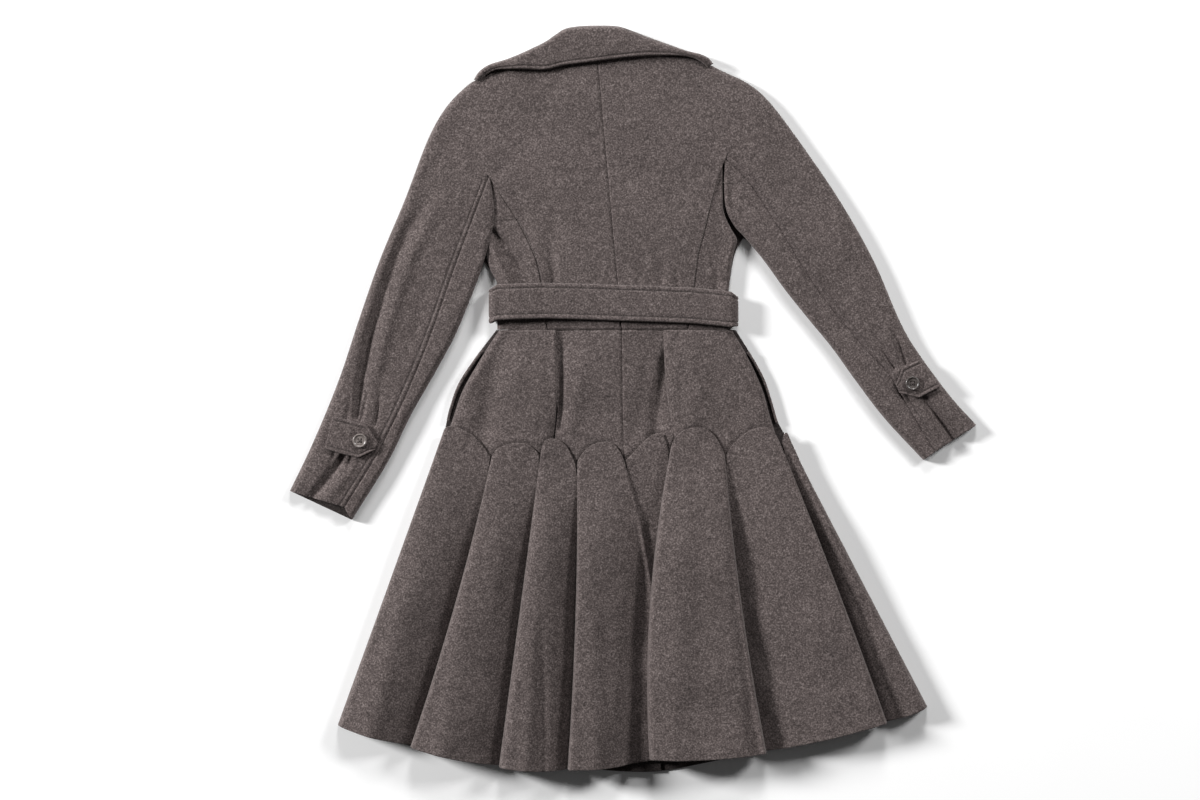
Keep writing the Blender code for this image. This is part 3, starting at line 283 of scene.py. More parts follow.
# The gores, left to right
GORES = [
    Gore(0.0224, 0.42, 0.0157, 0.0157, 0.0180, 0.0240, 0.0075, 0.012),
    Gore(0.0182, 0.55, 0.0157, 0.0157, 0.0260, 0.0300, 0.0075, 0.012),
    Gore(0.0280, 0.45, 0.0157, 0.0157, 0.0280, 0.0310, 0.0085, 0.012),
    Gore(0.0280, 0.58, 0.0157, 0.0157, 0.0320, 0.0285, 0.0083, 0.012),
    Gore(0.0294, 0.74, 0.0157, 0.0157, 0.0085, 0.0085, 0.0085, 0.022),
    Gore(0.0364, 0.53, 0.0222, 0.0180, 0.0330, 0.0360, 0.0290, 0.012),
    Gore(0.0294, 0.62, 0.0180, 0.0157, 0.0090, 0.0260, 0.0250, 0.012),
    Gore(0.0140, 0.50, 0.0157, 0.0157, 0.0075, 0.0190, 0.0180, 0.012),
]

# Hem of the skirt front, left to right
FRONT_HEM = table(Edge,
    (-4116, -4550), (-3108, -4858), (-1848, -5110), (-868, -5152), (-168, -5208), (392, -5208),
    (952, -5110), (1792, -4928), (3542, -4522), (4130, -4298))

# Side edge of the skirt front, waist to flounce
HIP_OUTLINE_LEFT = table(Edge,
    (-1897, 966), (-2226, 532), (-2436, 203), (-2548, -112), (-2596, -308), (-2625, -476),
    (-2660, -672))

# The same edge on the right
HIP_OUTLINE_RIGHT = table(Edge,
    (1449, 966), (1708, 550), (1858, 266), (1960, -42), (2040, -315), (2128, -476), (2226, -672))

# Collar: fold and free edge, left to right
COLLAR = table(Collar,
    (-2212, 4466, 165, -2128, 4424, 176), (-2128, 4585, 200, -2030, 4522, 200),
    (-1988, 4676, 220, -1890, 4585, 220), (-1764, 4746, 250, -1736, 4592, 230),
    (-1554, 4830, 270, -1540, 4592, 240), (-1372, 4914, 275, -1372, 4585, 240),
    (-1204, 4998, 280, -1204, 4585, 240), (-1064, 5096, 280, -1050, 4620, 240),
    (-938, 5173, 280, -924, 4648, 240), (-756, 5208, 280, -756, 4669, 240),
    (-476, 5219, 280, -476, 4704, 240), (-196, 5208, 280, -196, 4739, 240),
    (0, 5145, 280, 0, 4760, 240), (196, 5068, 280, 196, 4774, 240), (392, 4998, 270, 392, 4781, 240),
    (602, 4921, 260, 602, 4781, 235), (784, 4858, 240, 770, 4767, 225),
    (938, 4823, 220, 896, 4732, 215), (1064, 4767, 200, 994, 4676, 200),
    (1134, 4690, 165, 1064, 4613, 176))

# Mid-line of the belt on the back
BELT_LINE = table(BeltLine,
    (-2002, 1344, 0), (-1708, 1355, 3), (-1232, 1369, 6), (-728, 1358, 2), (-196, 1338, 7),
    (322, 1322, 2), (840, 1302, 6), (1232, 1266, 2), (1484, 1232, 0))

# Cuff tab: long sides from the base to the point
TAB_LEFT = table(Strip,
    (-4172, -238, -4291, -700), (-3934, -301, -4056, -763), (-3696, -364, -3822, -826),
    (-3542, -609, -3584, -714))

# The same tab on the right
TAB_RIGHT = table(Strip,
    (4004, 546, 4298, 168), (3885, 490, 4151, 91), (3766, 434, 4004, 14), (3675, 196, 3724, 84))

# Folds of the bodice and sleeves: points along each line, lift and half width
BODICE_FOLDS = fold_lines(
    ((-2548, 3094, 0, 100), (-2912, 2716, -25, 100), (-3164, 2254, -50, 90), (-3304, 1974, -55, 85),
     (-3486, 1456, -70, 75), (-3654, 868, -90, 70), (-3780, 266, -90, 60), (-3850, -238, -80, 50)),
    ((-2660, 2786, 6, 100), (-2926, 2282, 22, 90), (-3080, 2002, 28, 90), (-3262, 1456, 28, 90),
     (-3444, 868, 28, 90), (-3570, 322, 22, 80), (-3654, -14, 6, 70)),
    ((-3948, -714, -30, 50), (-4116, -938, -65, 60), (-4298, -1162, -70, 65), (-4466, -1372, -50, 60)),
    ((-3864, -882, 8, 60), (-4060, -1162, 18, 70), (-4228, -1372, 12, 60)),
    ((-3696, 182, 0, 40), (-3724, -42, -40, 32), (-3780, -294, -40, 32)),
    ((-3514, 98, 0, 40), (-3542, -126, -34, 30), (-3584, -350, -34, 30)),
    ((-3934, 70, 0, 50), (-3948, -126, -20, 40), (-3990, -294, -20, 40)),
    ((-3892, -742, -40, 32), (-3948, -896, -30, 38), (-4004, -1078, 0, 50)),
    ((-4130, -714, -20, 35), (-4200, -882, -12, 40), (-4256, -1022, 0, 50)),
    ((-1106, 2856, 0, 150), (-1120, 2436, -20, 140), (-1120, 2086, -34, 100), (-1106, 1778, -44, 60),
     (-1106, 1526, -42, 45), (-1120, 1218, 0, 60)),
    ((-2240, 3934, 0, 140), (-2478, 3626, -14, 130), (-2744, 3234, -14, 130), (-2968, 2842, 0, 120)),
    ((-1848, 3178, -9, 100), (-1540, 3486, -8, 120), (-1176, 3794, 0, 140)),
    ((-2268, 2926, 0, 100), (-2324, 2576, -12, 90), (-2436, 2156, -10, 90), (-2576, 1666, 0, 100)),
    ((-2688, 2086, 0, 80), (-2856, 1526, -10, 80), (-3052, 896, -12, 90), (-3220, 378, 0, 80)),
    ((392, 2296, 0, 90), (392, 1918, -22, 70), (406, 1666, -30, 45), (406, 1358, 0, 50)),
    ((630, 1946, 0, 50), (630, 1736, -20, 40), (644, 1526, -22, 35), (644, 1316, 0, 40)),
    ((1190, 1946, 0, 50), (1190, 1694, -20, 40), (1190, 1498, -20, 35), (1190, 1302, 0, 40)),
    ((112, 1918, 0, 50), (98, 1666, -12, 40), (84, 1386, 0, 40)),
    ((560, 3276, 0, 220), (588, 2898, -15, 220), (504, 2436, -5, 200)),
    ((1344, 3262, 0, 80), (1386, 2996, -20, 80), (1386, 2730, -30, 70), (1470, 2422, -25, 60)),
    ((1680, 3906, 0, 140), (1540, 3486, -12, 120), (1512, 3066, -6, 100)),
    ((1862, 2996, 0, 120), (2212, 2786, -12, 110), (2520, 2436, -10, 100), (2744, 2016, 0, 100)),
    ((2772, 2576, 0, 120), (2996, 1946, 12, 120), (3220, 1386, 8, 120), (3472, 966, 0, 120)),
    ((2562, 1918, 0, 90), (2856, 1526, -13, 80), (3080, 1134, -12, 80), (3332, 756, 0, 80)),
    ((3276, 994, 0, 70), (3458, 728, -55, 55), (3654, 434, -60, 45)),
    ((3612, 1106, 0, 60), (3710, 812, -45, 50), (3808, 490, -50, 40)),
    ((3164, 882, 0, 50), (3360, 630, -16, 40), (3528, 378, -16, 40)),
    ((3976, 98, -30, 40), (4172, -126, -60, 50), (4354, -378, -75, 60), (4508, -602, -70, 65)),
    ((3976, -98, 10, 50), (4186, -378, 22, 60), (4340, -616, 22, 60)),
    ((3822, 42, -18, 40), (3976, -238, -14, 50), (4116, -546, 0, 60)),
    ((-2030, 2422, 0, 50), (-1918, 2296, -55, 45), (-1778, 2114, -85, 50), (-1638, 1890, -90, 55),
     (-1526, 1624, -75, 55), (-1456, 1428, -30, 60)),
    ((-2044, 2254, 25, 45), (-1946, 2086, 60, 50), (-1834, 1862, 75, 55), (-1722, 1568, 50, 55)),
    ((-1792, 2226, -15, 70), (-1596, 1946, -35, 90), (-1442, 1624, -25, 80), (-1400, 1414, -10, 70)),
)

# Folds of the hip yoke
HIP_FOLDS = fold_lines(
    ((-1428, 994, -12, 60), (-1414, 658, 0, 80)),
    ((-588, 994, -9, 60), (-574, 686, 0, 80)),
    ((112, 994, -9, 60), (126, 658, 0, 80)),
    ((-1736, 896, -15, 100), (-1932, 266, -45, 150), (-2072, -434, -45, 160)),
    ((-1232, 756, 6, 90), (-1274, 196, 16, 100), (-1344, -406, 16, 100)),
    ((-1022, 882, -25, 50), (-1008, 266, -55, 60), (-1036, -406, -60, 70)),
    ((686, 966, -10, 60), (476, 518, -50, 90), (378, 56, -70, 100), (322, -518, -70, 110)),
    ((840, 756, 4, 120), (854, 196, 16, 130), (784, -462, 20, 130)),
    ((-728, 756, 4, 90), (-756, 196, 22, 100), (-826, -406, 24, 100)),
    ((224, 756, -8, 100), (168, 126, -26, 130), (84, -504, -28, 140)),
    ((1036, 826, 0, 140), (1176, 196, -12, 140), (1316, -364, 0, 140)),
    ((1582, 476, 0, 80), (1736, 56, -8, 80), (1848, -364, 0, 80)),
)

# Long soft folds of the flounce
GORE_FOLDS = fold_lines(
    ((-2828, -1554, 0, 140), (-3192, -2954, 30, 160), (-3668, -4704, 45, 170)),
    ((-2072, -1554, 0, 120), (-2324, -2814, 20, 150), (-2604, -4844, 26, 170)),
    ((-1288, -2254, 0, 70), (-1386, -3374, 18, 80), (-1484, -5124, 28, 90)),
    ((-1246, -3094, 0, 50), (-1246, -4074, -30, 60), (-1246, -5166, -40, 60)),
    ((-616, -1554, 0, 120), (-560, -3094, 24, 130), (-490, -5166, 34, 140)),
    ((112, -1694, 0, 90), (140, -2394, -60, 120), (84, -3374, -110, 160), (0, -5194, -140, 190)),
    ((952, -1414, 0, 220), (1008, -3094, -8, 260), (1036, -4998, -12, 260)),
    ((1344, -1274, 0, 80), (1484, -2674, -30, 90), (1680, -4494, -50, 100), (1764, -4942, -50, 100)),
    ((812, -1134, 5, 160), (644, -2814, 20, 160), (588, -5012, 24, 160)),
    ((1680, -1694, 0, 160), (2184, -3094, -20, 180), (2520, -4704, -24, 200)),
    ((2604, -1974, 0, 90), (3024, -2954, 16, 100), (3360, -4214, 22, 110)),
    ((2632, -1834, 0, 80), (3164, -2954, -20, 90), (3724, -4438, -24, 100)),
)

# Tips of the side panels at the armpits
ARMPIT_TIPS = {
    "left": Edge(-0.2004, 0.3092, 0.0105, 0.0060),
    "right": Edge(0.1264, 0.3366, 0.0138, 0.0100),
}

# Reach of the turned edge between two gores, left to right
LIP_REACH = (EDGE_ROLL, 0.006, 0.012, 0.005, 0.006, 0.008, 0.005, 0.005, EDGE_ROLL)

# How late each gore falls, and towards which of its edges, left to right
GORE_FALLS = ((1.8, "b"), (3.0, "b"), (2.6, "b"), (2.2, "b"), (1.0, "b"), (3.0, "b"), (4.0, "a"), (2.5, "a"))


def smooth(value):
    """Ease from 0 to 1."""
    value = np.clip(value, 0.0, 1.0)
    return value * value * (3.0 - 2.0 * value)


def front_face(x, y):
    """Height of the front's inner face, which rises over the belt."""
    low = smooth((y - BELT_RISE_ENDS[0]) / (BELT_RISE_FULL[0] - BELT_RISE_ENDS[0]))
    high = smooth((BELT_RISE_ENDS[1] - y) / (BELT_RISE_ENDS[1] - BELT_RISE_FULL[1]))
    left = smooth((x - BODY_SIDES[0]) / BODY_SIDE_FADE)
    right = smooth((BODY_SIDES[1] - x) / BODY_SIDE_FADE)
    return FRONT_FACE + BELT_RISE * low * high * left * right


def neck_rise(x, y):
    """Rise of the back neck to the seam under the collar."""
    up = smooth((y - NECK_Y[0]) / (NECK_Y[1] - NECK_Y[0]))
    left = smooth((x - NECK_X[0]) / NECK_FADE)
    right = smooth((NECK_X[1] - x) / NECK_FADE)
    return NECK_RISE * up * left * right


def steps_of(points):
    """Lengths of the steps along a line of points, seen from above."""
    return np.hypot(*np.diff(points[:, :2], axis=0).T)


def added(steps):
    """Distance of each point from the first."""
    return np.concatenate([[0.0], np.cumsum(steps)])


def pick(points, places, stations=None):
    """Points of a line at places given by its stations, or else by its points' numbers."""
    stations = np.arange(len(points)) if stations is None else stations
    return np.column_stack([np.interp(places, stations, column) for column in points.T])


def curve(rows, first=0, last=None):
    """A smooth curve through a table's rows."""
    knots = np.array(rows, dtype=float)
    last = len(knots) - 1 if last is None else last
    ends = np.vstack([2 * knots[0] - knots[1], knots, 2 * knots[-1] - knots[-2]])
    points = []
    for row in range(first, last):
        p0, p1, p2, p3 = ends[row:row + 4]
        for t in np.linspace(0.0, 1.0, FINE, endpoint=False):
            bend = (2 * p0 - 5 * p1 + 4 * p2 - p3) * t * t
            twist = (3 * p1 - p0 - 3 * p2 + p3) * t ** 3
            points.append(0.5 * (2 * p1 + (p2 - p0) * t + bend + twist))
    return np.array(points + [knots[last]])


def run(rows, steps, first=0, last=None):
    """The same curve with its points spaced evenly by length."""
    dense = curve(rows, first, last)
    length = added(steps_of(dense))
    return pick(dense, np.linspace(0.0, length[-1], steps * FINE + 1), length)


def straight(rows):
    """A table's rows with straight stretches between them."""
    return pick(np.array(rows, dtype=float), np.linspace(0.0, len(rows) - 1, (len(rows) - 1) * FINE + 1))


def joined(*runs):
    """Several runs end to end, with each shared point once."""
    return np.vstack([runs[0]] + [part[1:] for part in runs[1:]])


def level_line(x_start, x_end, y, z, steps):
    """A straight edge at one height."""
    xs = np.linspace(x_start, x_end, steps * FINE + 1)
    return np.column_stack([xs, np.full_like(xs, y), np.full_like(xs, z), np.zeros_like(xs)])


def spaced(length, pitch, start, end):
    """Places along a length: even, closer together at an end that shows."""
    lead = NEAR if start else np.array((0.0,))
    tail = length - NEAR[::-1] if end else np.array((length,))
    lead = lead[lead < 0.3 * length]
    tail = tail[tail > 0.7 * length]
    count = max(int(round((tail[0] - lead[-1]) / pitch)), 2)
    if (len(lead) + len(tail) + count - 1) % 2 == 0:
        count += 1
    between = np.linspace(lead[-1], tail[0], count + 1)[1:-1]
    return np.concatenate([lead, between, tail])


def row_places(a, b, pitch, start, end):
    """Rows of a loft between two fine edges, as positions along their points."""
    length = added(np.maximum(steps_of(a), steps_of(b)))
    return np.interp(spaced(length[-1], pitch, start, end), length, np.arange(len(a)))


def fold_lift(lines, x, y):
    """Height that a group of folds adds at each point."""
    total = np.zeros_like(x)
    for line in lines:
        reach = 3.0 * max(knot.half for knot in line)
        xs, ys = [knot.x for knot in line], [knot.y for knot in line]
        near = (x > min(xs) - reach) & (x < max(xs) + reach) & (y > min(ys) - reach) & (y < max(ys) + reach)
        nx, ny = x[near], y[near]
        best = np.zeros_like(nx)
        for p, q in zip(line, line[1:]):
            run_x, run_y = q.x - p.x, q.y - p.y
            t = np.clip(((nx - p.x) * run_x + (ny - p.y) * run_y) / (run_x ** 2 + run_y ** 2), 0.0, 1.0)
            away = np.hypot(nx - p.x - t * run_x, ny - p.y - t * run_y)
            half = p.half + (q.half - p.half) * t
            lift = (p.lift + (q.lift - p.lift) * t) * np.exp(-(away / half) ** 2)
            best = np.where(np.abs(lift) > np.abs(best), lift, best)
        total[near] += best
    return total


def waves(seed, shortest, longest, count):
    """Random plane waves between two wavelengths."""
    chance = np.random.default_rng(seed)
    length = np.exp(chance.uniform(np.log(shortest), np.log(longest), count))
    turn = chance.uniform(0.0, 2.0 * np.pi, count)
    phase = chance.uniform(0.0, 2.0 * np.pi, count)
    return np.column_stack([np.cos(turn), np.sin(turn)]) * (2 * np.pi / length)[:, None], phase


BROAD = waves(11, 0.070, 0.200, 26)
SMALL = waves(23, 0.020, 0.055, 30)


def handle(x, y):
    """Soft unevenness of laid cloth."""
    total = np.zeros_like(x)
    for (wave, phase), size in ((BROAD, 0.00075), (SMALL, 0.00016)):
        part = np.zeros_like(x)
        for (kx, ky), start in zip(wave, phase):
            part += np.sin(kx * x + ky * y + start)
        total += size * part * np.sqrt(2.0 / len(phase))
    return total


def rounded(away, radius):
    """Drop of a rounded edge at a distance from it."""
    left = np.clip(radius - away, 0.0, radius)
    return radius - np.sqrt(radius * radius - left * left)


def groove(away, depth=SEAM_DEPTH, half=SEAM_HALF):
    """Drop of a sewn seam at a distance from it."""
    return depth * np.exp(-(away / half) ** 2)


def add_piece(name, vertices, faces, material, node, smooth_angle=50.0):
    """A named mesh object that stands for a CAD node."""
    mesh = bpy.data.meshes.new(name)
    mesh.from_pydata(vertices, [], faces)
    mesh.validate()
    shape = bmesh.new()
    shape.from_mesh(mesh)
    bmesh.ops.recalc_face_normals(shape, faces=shape.faces)
    shape.to_mesh(mesh)
    shape.free()
    mesh.polygons.foreach_set("use_smooth", [True] * len(mesh.polygons))
    mesh.set_sharp_from_angle(angle=math.radians(smooth_angle))
    mesh.materials.append(material)
    piece = bpy.data.objects.new(name, mesh)
    bpy.context.scene.collection.objects.link(piece)
    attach(piece, "root")
    if node:
        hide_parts(node)
    return piece


def shell(node, outer, inner, material):
    """A closed wall of cloth between two grids. The inner grid has half the rows and columns."""
    rows, columns = outer.shape[:2]
    low = inner[::2, ::2]
    low_rows, low_columns = low.shape[:2]
    count = rows * columns
    vertices = np.vstack([outer.reshape(-1, 3), low.reshape(-1, 3)])
    r, c = np.meshgrid(np.arange(rows - 1), np.arange(columns - 1), indexing="ij")
    i = (r * columns + c).ravel()
    faces = np.column_stack([i, i + 1, i + columns + 1, i + columns]).tolist()
    r, c = np.meshgrid(np.arange(low_rows - 1), np.arange(low_columns - 1), indexing="ij")
    i = (count + r * low_columns + c).ravel()
    faces += np.column_stack([i, i + low_columns, i + low_columns + 1, i + 1]).tolist()
    for k in range(low_columns - 1):
        for row, low_row in ((0, 0), (rows - 1, low_rows - 1)):
            top = row * columns + 2 * k
            foot = count + low_row * low_columns + k
            faces.append([top, top + 1, top + 2, foot + 1, foot])
    for k in range(low_rows - 1):
        for column, low_column in ((0, 0), (columns - 1, low_columns - 1)):
            top = 2 * k * columns + column
            foot = count + k * low_columns + low_column
            faces.append([top, top + columns, top + 2 * columns, foot + low_columns, foot])
    return add_piece(node + "_cloth", vertices.tolist(), faces, material, node)


def roll(reach, foot, edge_z, depth):
    """Distances and heights of a turned-down edge, from its foot to its top."""
    turn = np.radians(np.linspace(0.0, 90.0, ROLL_STEPS))
    inner = np.maximum(reach - depth, 0.3 * reach)[:, None]
    drop = np.maximum(edge_z - depth - foot, 0.12 * (edge_z - foot))[:, None]
    return reach[:, None] - inner * np.cos(turn), foot[:, None] + drop * np.sin(turn)


def section(width, a, b, crown, pitch, depth, columns=None, fall=(1.0, "b")):
    """Distances across each row and heights there, for the face at a depth in the cloth.

    a and b are (kind, z, foot, reach) with one value a row. A roll turns down to its foot, a tuck
    runs flat under its neighbour, a seam and a free edge are plain. The fall says how late and
    towards which edge the height changes from a's to b's.
    """
    flats = [np.clip(reach - LIP_ROLL, 0.0, 0.45 * width) if kind == "tuck" else np.zeros(len(width))
             for kind, _, _, reach in (a, b)]

    def top(s):
        u = (s - flats[0][:, None]) / np.maximum(width - flats[0] - flats[1], 1e-6)[:, None]
        u = np.clip(u, 0.0, 1.0)
        share = u ** fall[0] if fall[1] == "b" else 1.0 - (1.0 - u) ** fall[0]
        line = a[1][:, None] + (b[1] - a[1])[:, None] * share
        return line + 4.0 * crown[:, None] * u * (1.0 - u) - depth

    def finish(end, flat, place):
        kind, _, foot, reach = end
        reach = np.minimum(reach, 0.42 * width)
        if kind == "roll":
            return roll(reach, foot, top(place(reach[:, None]))[:, 0] + depth, depth)
        if kind == "tuck":
            s = flat[:, None] * np.linspace(0.0, 1.0, 5)
        else:
            s = SEAM / 2 + NEAR * np.minimum(1.0, width / NARROW)[:, None]
        return s, top(place(s))

    a_s, a_h = finish(a, flats[0], lambda s: s)
    b_s, b_h = finish(b, flats[1], lambda s: width[:, None] - s)
    start, end = a_s[:, -1], width - b_s[:, -1]
    if columns is None:
        columns = max(int(np.max(end - start) / pitch), 4)
        columns += (a_s.shape[1] + b_s.shape[1] + columns - 1) % 2 == 0
    share = np.linspace(0.0, 1.0, columns + 1)[1:-1]
    mid_s = start[:, None] + (end - start)[:, None] * share
    s = np.hstack([a_s, mid_s, (width[:, None] - b_s)[:, ::-1]])
    z = np.hstack([a_h, top(mid_s), b_h[:, ::-1]])
    return s, z, columns


def run_lengths(grid):
    """Distance of each point from the first and the last row, along its column."""
    step = np.linalg.norm(np.diff(grid, axis=0), axis=2)
    from_first = np.vstack([np.zeros(grid.shape[1]), np.cumsum(step, axis=0)])
    return from_first, from_first[-1] - from_first


def panel(node, a, b, material, a_kind="seam", b_kind="seam", first="seam", last="seam",
          a_roll=0.0, b_roll=0.0, crown=0.0, thick=CLOTH, pitch=0.0030, level=None, folds=(),
          lift=None, uneven=1.0, edge_round=EDGE_ROUND, pressed=()):
    """A wall of cloth lofted from edge a to edge b, with folds, seams and rounded free edges.

    Edges are fine rows of (x, y, z, foot). A pressed line is an edge's letter, its inset and the rows
    that it runs along. Returns the piece and its outer grid.
    """
    places = row_places(a, b, pitch, first != "hidden", last != "hidden")
    crown_rows = np.interp(places, np.linspace(0, len(a) - 1, np.size(crown)), np.atleast_1d(crown))
    a, b = pick(a, places), pick(b, places)
    across = b[:, :2] - a[:, :2]
    width = np.hypot(*across.T)
    ends = []
    for edge, kind, reach in ((a, a_kind, a_roll), (b, b_kind, b_roll)):
        foot = np.maximum(edge[:, 3], front_face(edge[:, 0], edge[:, 1]) + SEAM)
        ends.append(("roll" if reach else kind, edge[:, 2], foot, np.full(len(width), reach)))
    s, z, columns = section(width, *ends, crown_rows, pitch, 0.0)
    s_in, z_in, _ = section(width, *ends, crown_rows, pitch, thick, columns)
    grids = []
    for reached, heights in ((s, z), (s_in, z_in)):
        shares = (reached / width[:, None])[:, :, None]
        grids.append(np.dstack([a[:, None, :2] + across[:, None] * shares, heights]))
    outer, inner = grids
    x, y = outer[:, :, 0], outer[:, :, 1]
    change = fold_lift(folds, x, y) + uneven * handle(x, y)
    if lift is not None:
        change = change + lift(x, y)
    from_b = width[:, None] - s
    for reach, away in ((a_roll, s), (b_roll, from_b)):
        if reach:
            change = change * smooth(away / (2.0 * reach))
    if folds:
        room = front_face(x, y) + SEAM + thick - outer[:, :, 2]
        change = np.maximum(change, np.minimum(room, 0.0))
    if level is not None:
        change = change + level(x, y)
    outer[:, :, 2] += change
    inner[:, :, 2] += change
    from_first, from_last = run_lengths(outer)
    finishes = [(first, from_first), (last, from_last)]
    finishes += [] if a_roll else [(a_kind, s - SEAM / 2)]
    finishes += [] if b_roll else [(b_kind, from_b - SEAM / 2)]
    for kind, away in finishes:
        if kind == "seam":
            outer[:, :, 2] -= groove(away)
        if kind == "free":
            outer[:, :, 2] -= rounded(away, edge_round)
            inner[:, :, 2] += rounded(away, edge_round)
    for edge, inset, along in pressed:
        away = s if edge == "a" else from_b
        reach = SEAM / 2 + inset * np.minimum(1.0, width / NARROW)[:, None]
        outer[:, :, 2] -= np.reshape(along(b), (-1, 1)) * groove(away - reach, PRESS_DEPTH, PRESS_HALF)
    for row, neighbour in ((0, 2), (-1, -3)):
        inward = outer[neighbour] - outer[row]
        inward[:, 2] = 0.0
        inward *= (SEAM / 2) / np.maximum(np.linalg.norm(inward, axis=1), 1e-9)[:, None]
        outer[row] += inward
        inner[row] += inward
    return shell(node, outer, inner, material), outer


def add_tubes(name, tubes, sides, material):
    """Closed tubes of thread, each a row of (centre, direction, half width, half height, lift)."""
    vertices, faces = [], []
    for stations in tubes:
        first = len(vertices)
        for centre, along, wide, high, lift in stations:
            side = np.cross((0.0, 0.0, 1.0), along)
            side /= np.linalg.norm(side)
            up = np.cross(along, side)
            for turn in (math.tau * k / sides for k in range(sides)):
                point = centre + side * wide * math.cos(turn) + up * (high * math.sin(turn) + lift)
                vertices.append(point.tolist())
        last = len(vertices) - sides
        for ring in range(first, last, sides):
            for k in range(sides):
                i, j = ring + k, ring + (k + 1) % sides
                faces.append((i, j, j + sides, i + sides))
        faces.append(tuple(first + k for k in range(sides - 1, -1, -1)))
        faces.append(tuple(last + k for k in range(sides)))
    return add_piece(name, vertices, faces, material, None)


def stitch_row(name, lines, material):
    """Rows of small raised stitches along lines of points on the cloth."""
    tubes = []
    for line in lines:
        length = added(np.linalg.norm(np.diff(line, axis=0), axis=1))
        for middle in np.arange(STITCH_PITCH, length[-1] - STITCH_PITCH / 2, STITCH_PITCH):
            p, centre, q = pick(line, middle + STITCH_LENGTH * np.array((-0.5, 0.0, 0.5)), length)
            along = (q - p) / np.linalg.norm(q - p)
            tubes.append([(centre + along * share * STITCH_LENGTH, along, 1.25 * size * STITCH_RADIUS,
                           size * STITCH_RADIUS, STITCH_LIFT) for share, size in STITCH_RINGS])
    return add_tubes(name, tubes, 6, material)


def scallop(gore, u):
    """Height of a gore's scallop at shares u of its width, rounder on the left than on the right."""
    skew = u ** (math.log(0.5) / math.log(gore.peak))
    arc = np.maximum(1.0 - np.abs(2.0 * skew - 1.0) ** 2.4, 0.0)
    return gore.arch * np.where(skew < 0.5, np.sqrt(arc), arc)


def scallop_line():
    """Upper edge of the flounce from side to side, as x and y."""
    xs, ys = [], []
    u = np.linspace(0.0, 1.0, 40, endpoint=False)
    for gore, left, right in zip(GORES, GORE_EDGES, GORE_EDGES[1:]):
        xs.append(left.top_x + (right.top_x - left.top_x) * u)
        ys.append(left.top_y + (right.top_y - left.top_y) * u + scallop(gore, u))
    return np.concatenate(xs), np.concatenate(ys)


SCALLOPS = scallop_line()


def beside_scallops(x, y):
    """The yoke swells to meet the flounce's scalloped edge."""
    edge = np.interp(x, *SCALLOPS)
    above = smooth((y - edge - 0.0006) / 0.0030)
    near = smooth((edge + 0.050 - y) / 0.040)
    return SCALLOP_RISE * above * near


def everywhere(edge):
    """A pressed line along the whole edge."""
    return np.ones(len(edge))


def build_bodice(wool, thread):
    """Back panels with their sleeves, side panels and under sleeves."""
    sides = (
        ("left", -1.0, OVERARM_LEFT, SIDE_SEAM_LEFT, SLEEVE_SEAM_LEFT, UNDERARM_LEFT, BODY_SIDE_LEFT),
        ("right", 1.0, OVERARM_RIGHT, SIDE_SEAM_RIGHT, SLEEVE_SEAM_RIGHT, UNDERARM_RIGHT, BODY_SIDE_RIGHT),
    )
    for side, outward, overarm, side_seam, sleeve_seam, underarm, body_side in sides:
        waist = level_line(CENTRE_BACK_X, side_seam[0].x, WAIST_Y, side_seam[0].z, 3)
        body_seam = joined(run(side_seam, 5, 0, 5), run(side_seam, 1, 5, 6))
        arm_seam = run(sleeve_seam, 11)
        top = joined(run(overarm, 3, 0, 2), run(overarm, 6, 2, 6), run(overarm, 11, 6, 13))

        def on_sleeve(edge, outward=outward, armpit=sleeve_seam[0].x):
            return smooth(outward * (edge[:, 0] - armpit) / PRESS_START)

        back = panel(f"back_{side}", top, joined(waist, body_seam, arm_seam), wool, last="free",
                     a_roll=EDGE_ROLL, crown=0.0006, level=neck_rise, folds=BODICE_FOLDS,
                     pressed=(("b", STITCH_INSET, on_sleeve),))
        seam = back[1][:, -NEAR.tolist().index(STITCH_INSET) - 1]
        sleeve = seam[seam[:, 1] < sleeve_seam[1].y] + (0.0, 0.0, 0.0001)
        stitch_row(f"sleeve_stitches_{side}", [sleeve], thread)
        tip = run([body_side[-2], body_side[-1], ARMPIT_TIPS[side]], 1, 1, 2)
        panel(f"side_panel_{side}", body_seam, joined(run(body_side, 5), tip), wool, first="hidden",
                      last="hidden", b_roll=SIDE_ROLL, crown=-0.0008, folds=BODICE_FOLDS)
        panel(f"under_sleeve_{side}", arm_seam, run(underarm, 11), wool, first="hidden", last="free",
                      b_roll=SLEEVE_ROLL, crown=0.0003, folds=BODICE_FOLDS, pitch=0.0026)


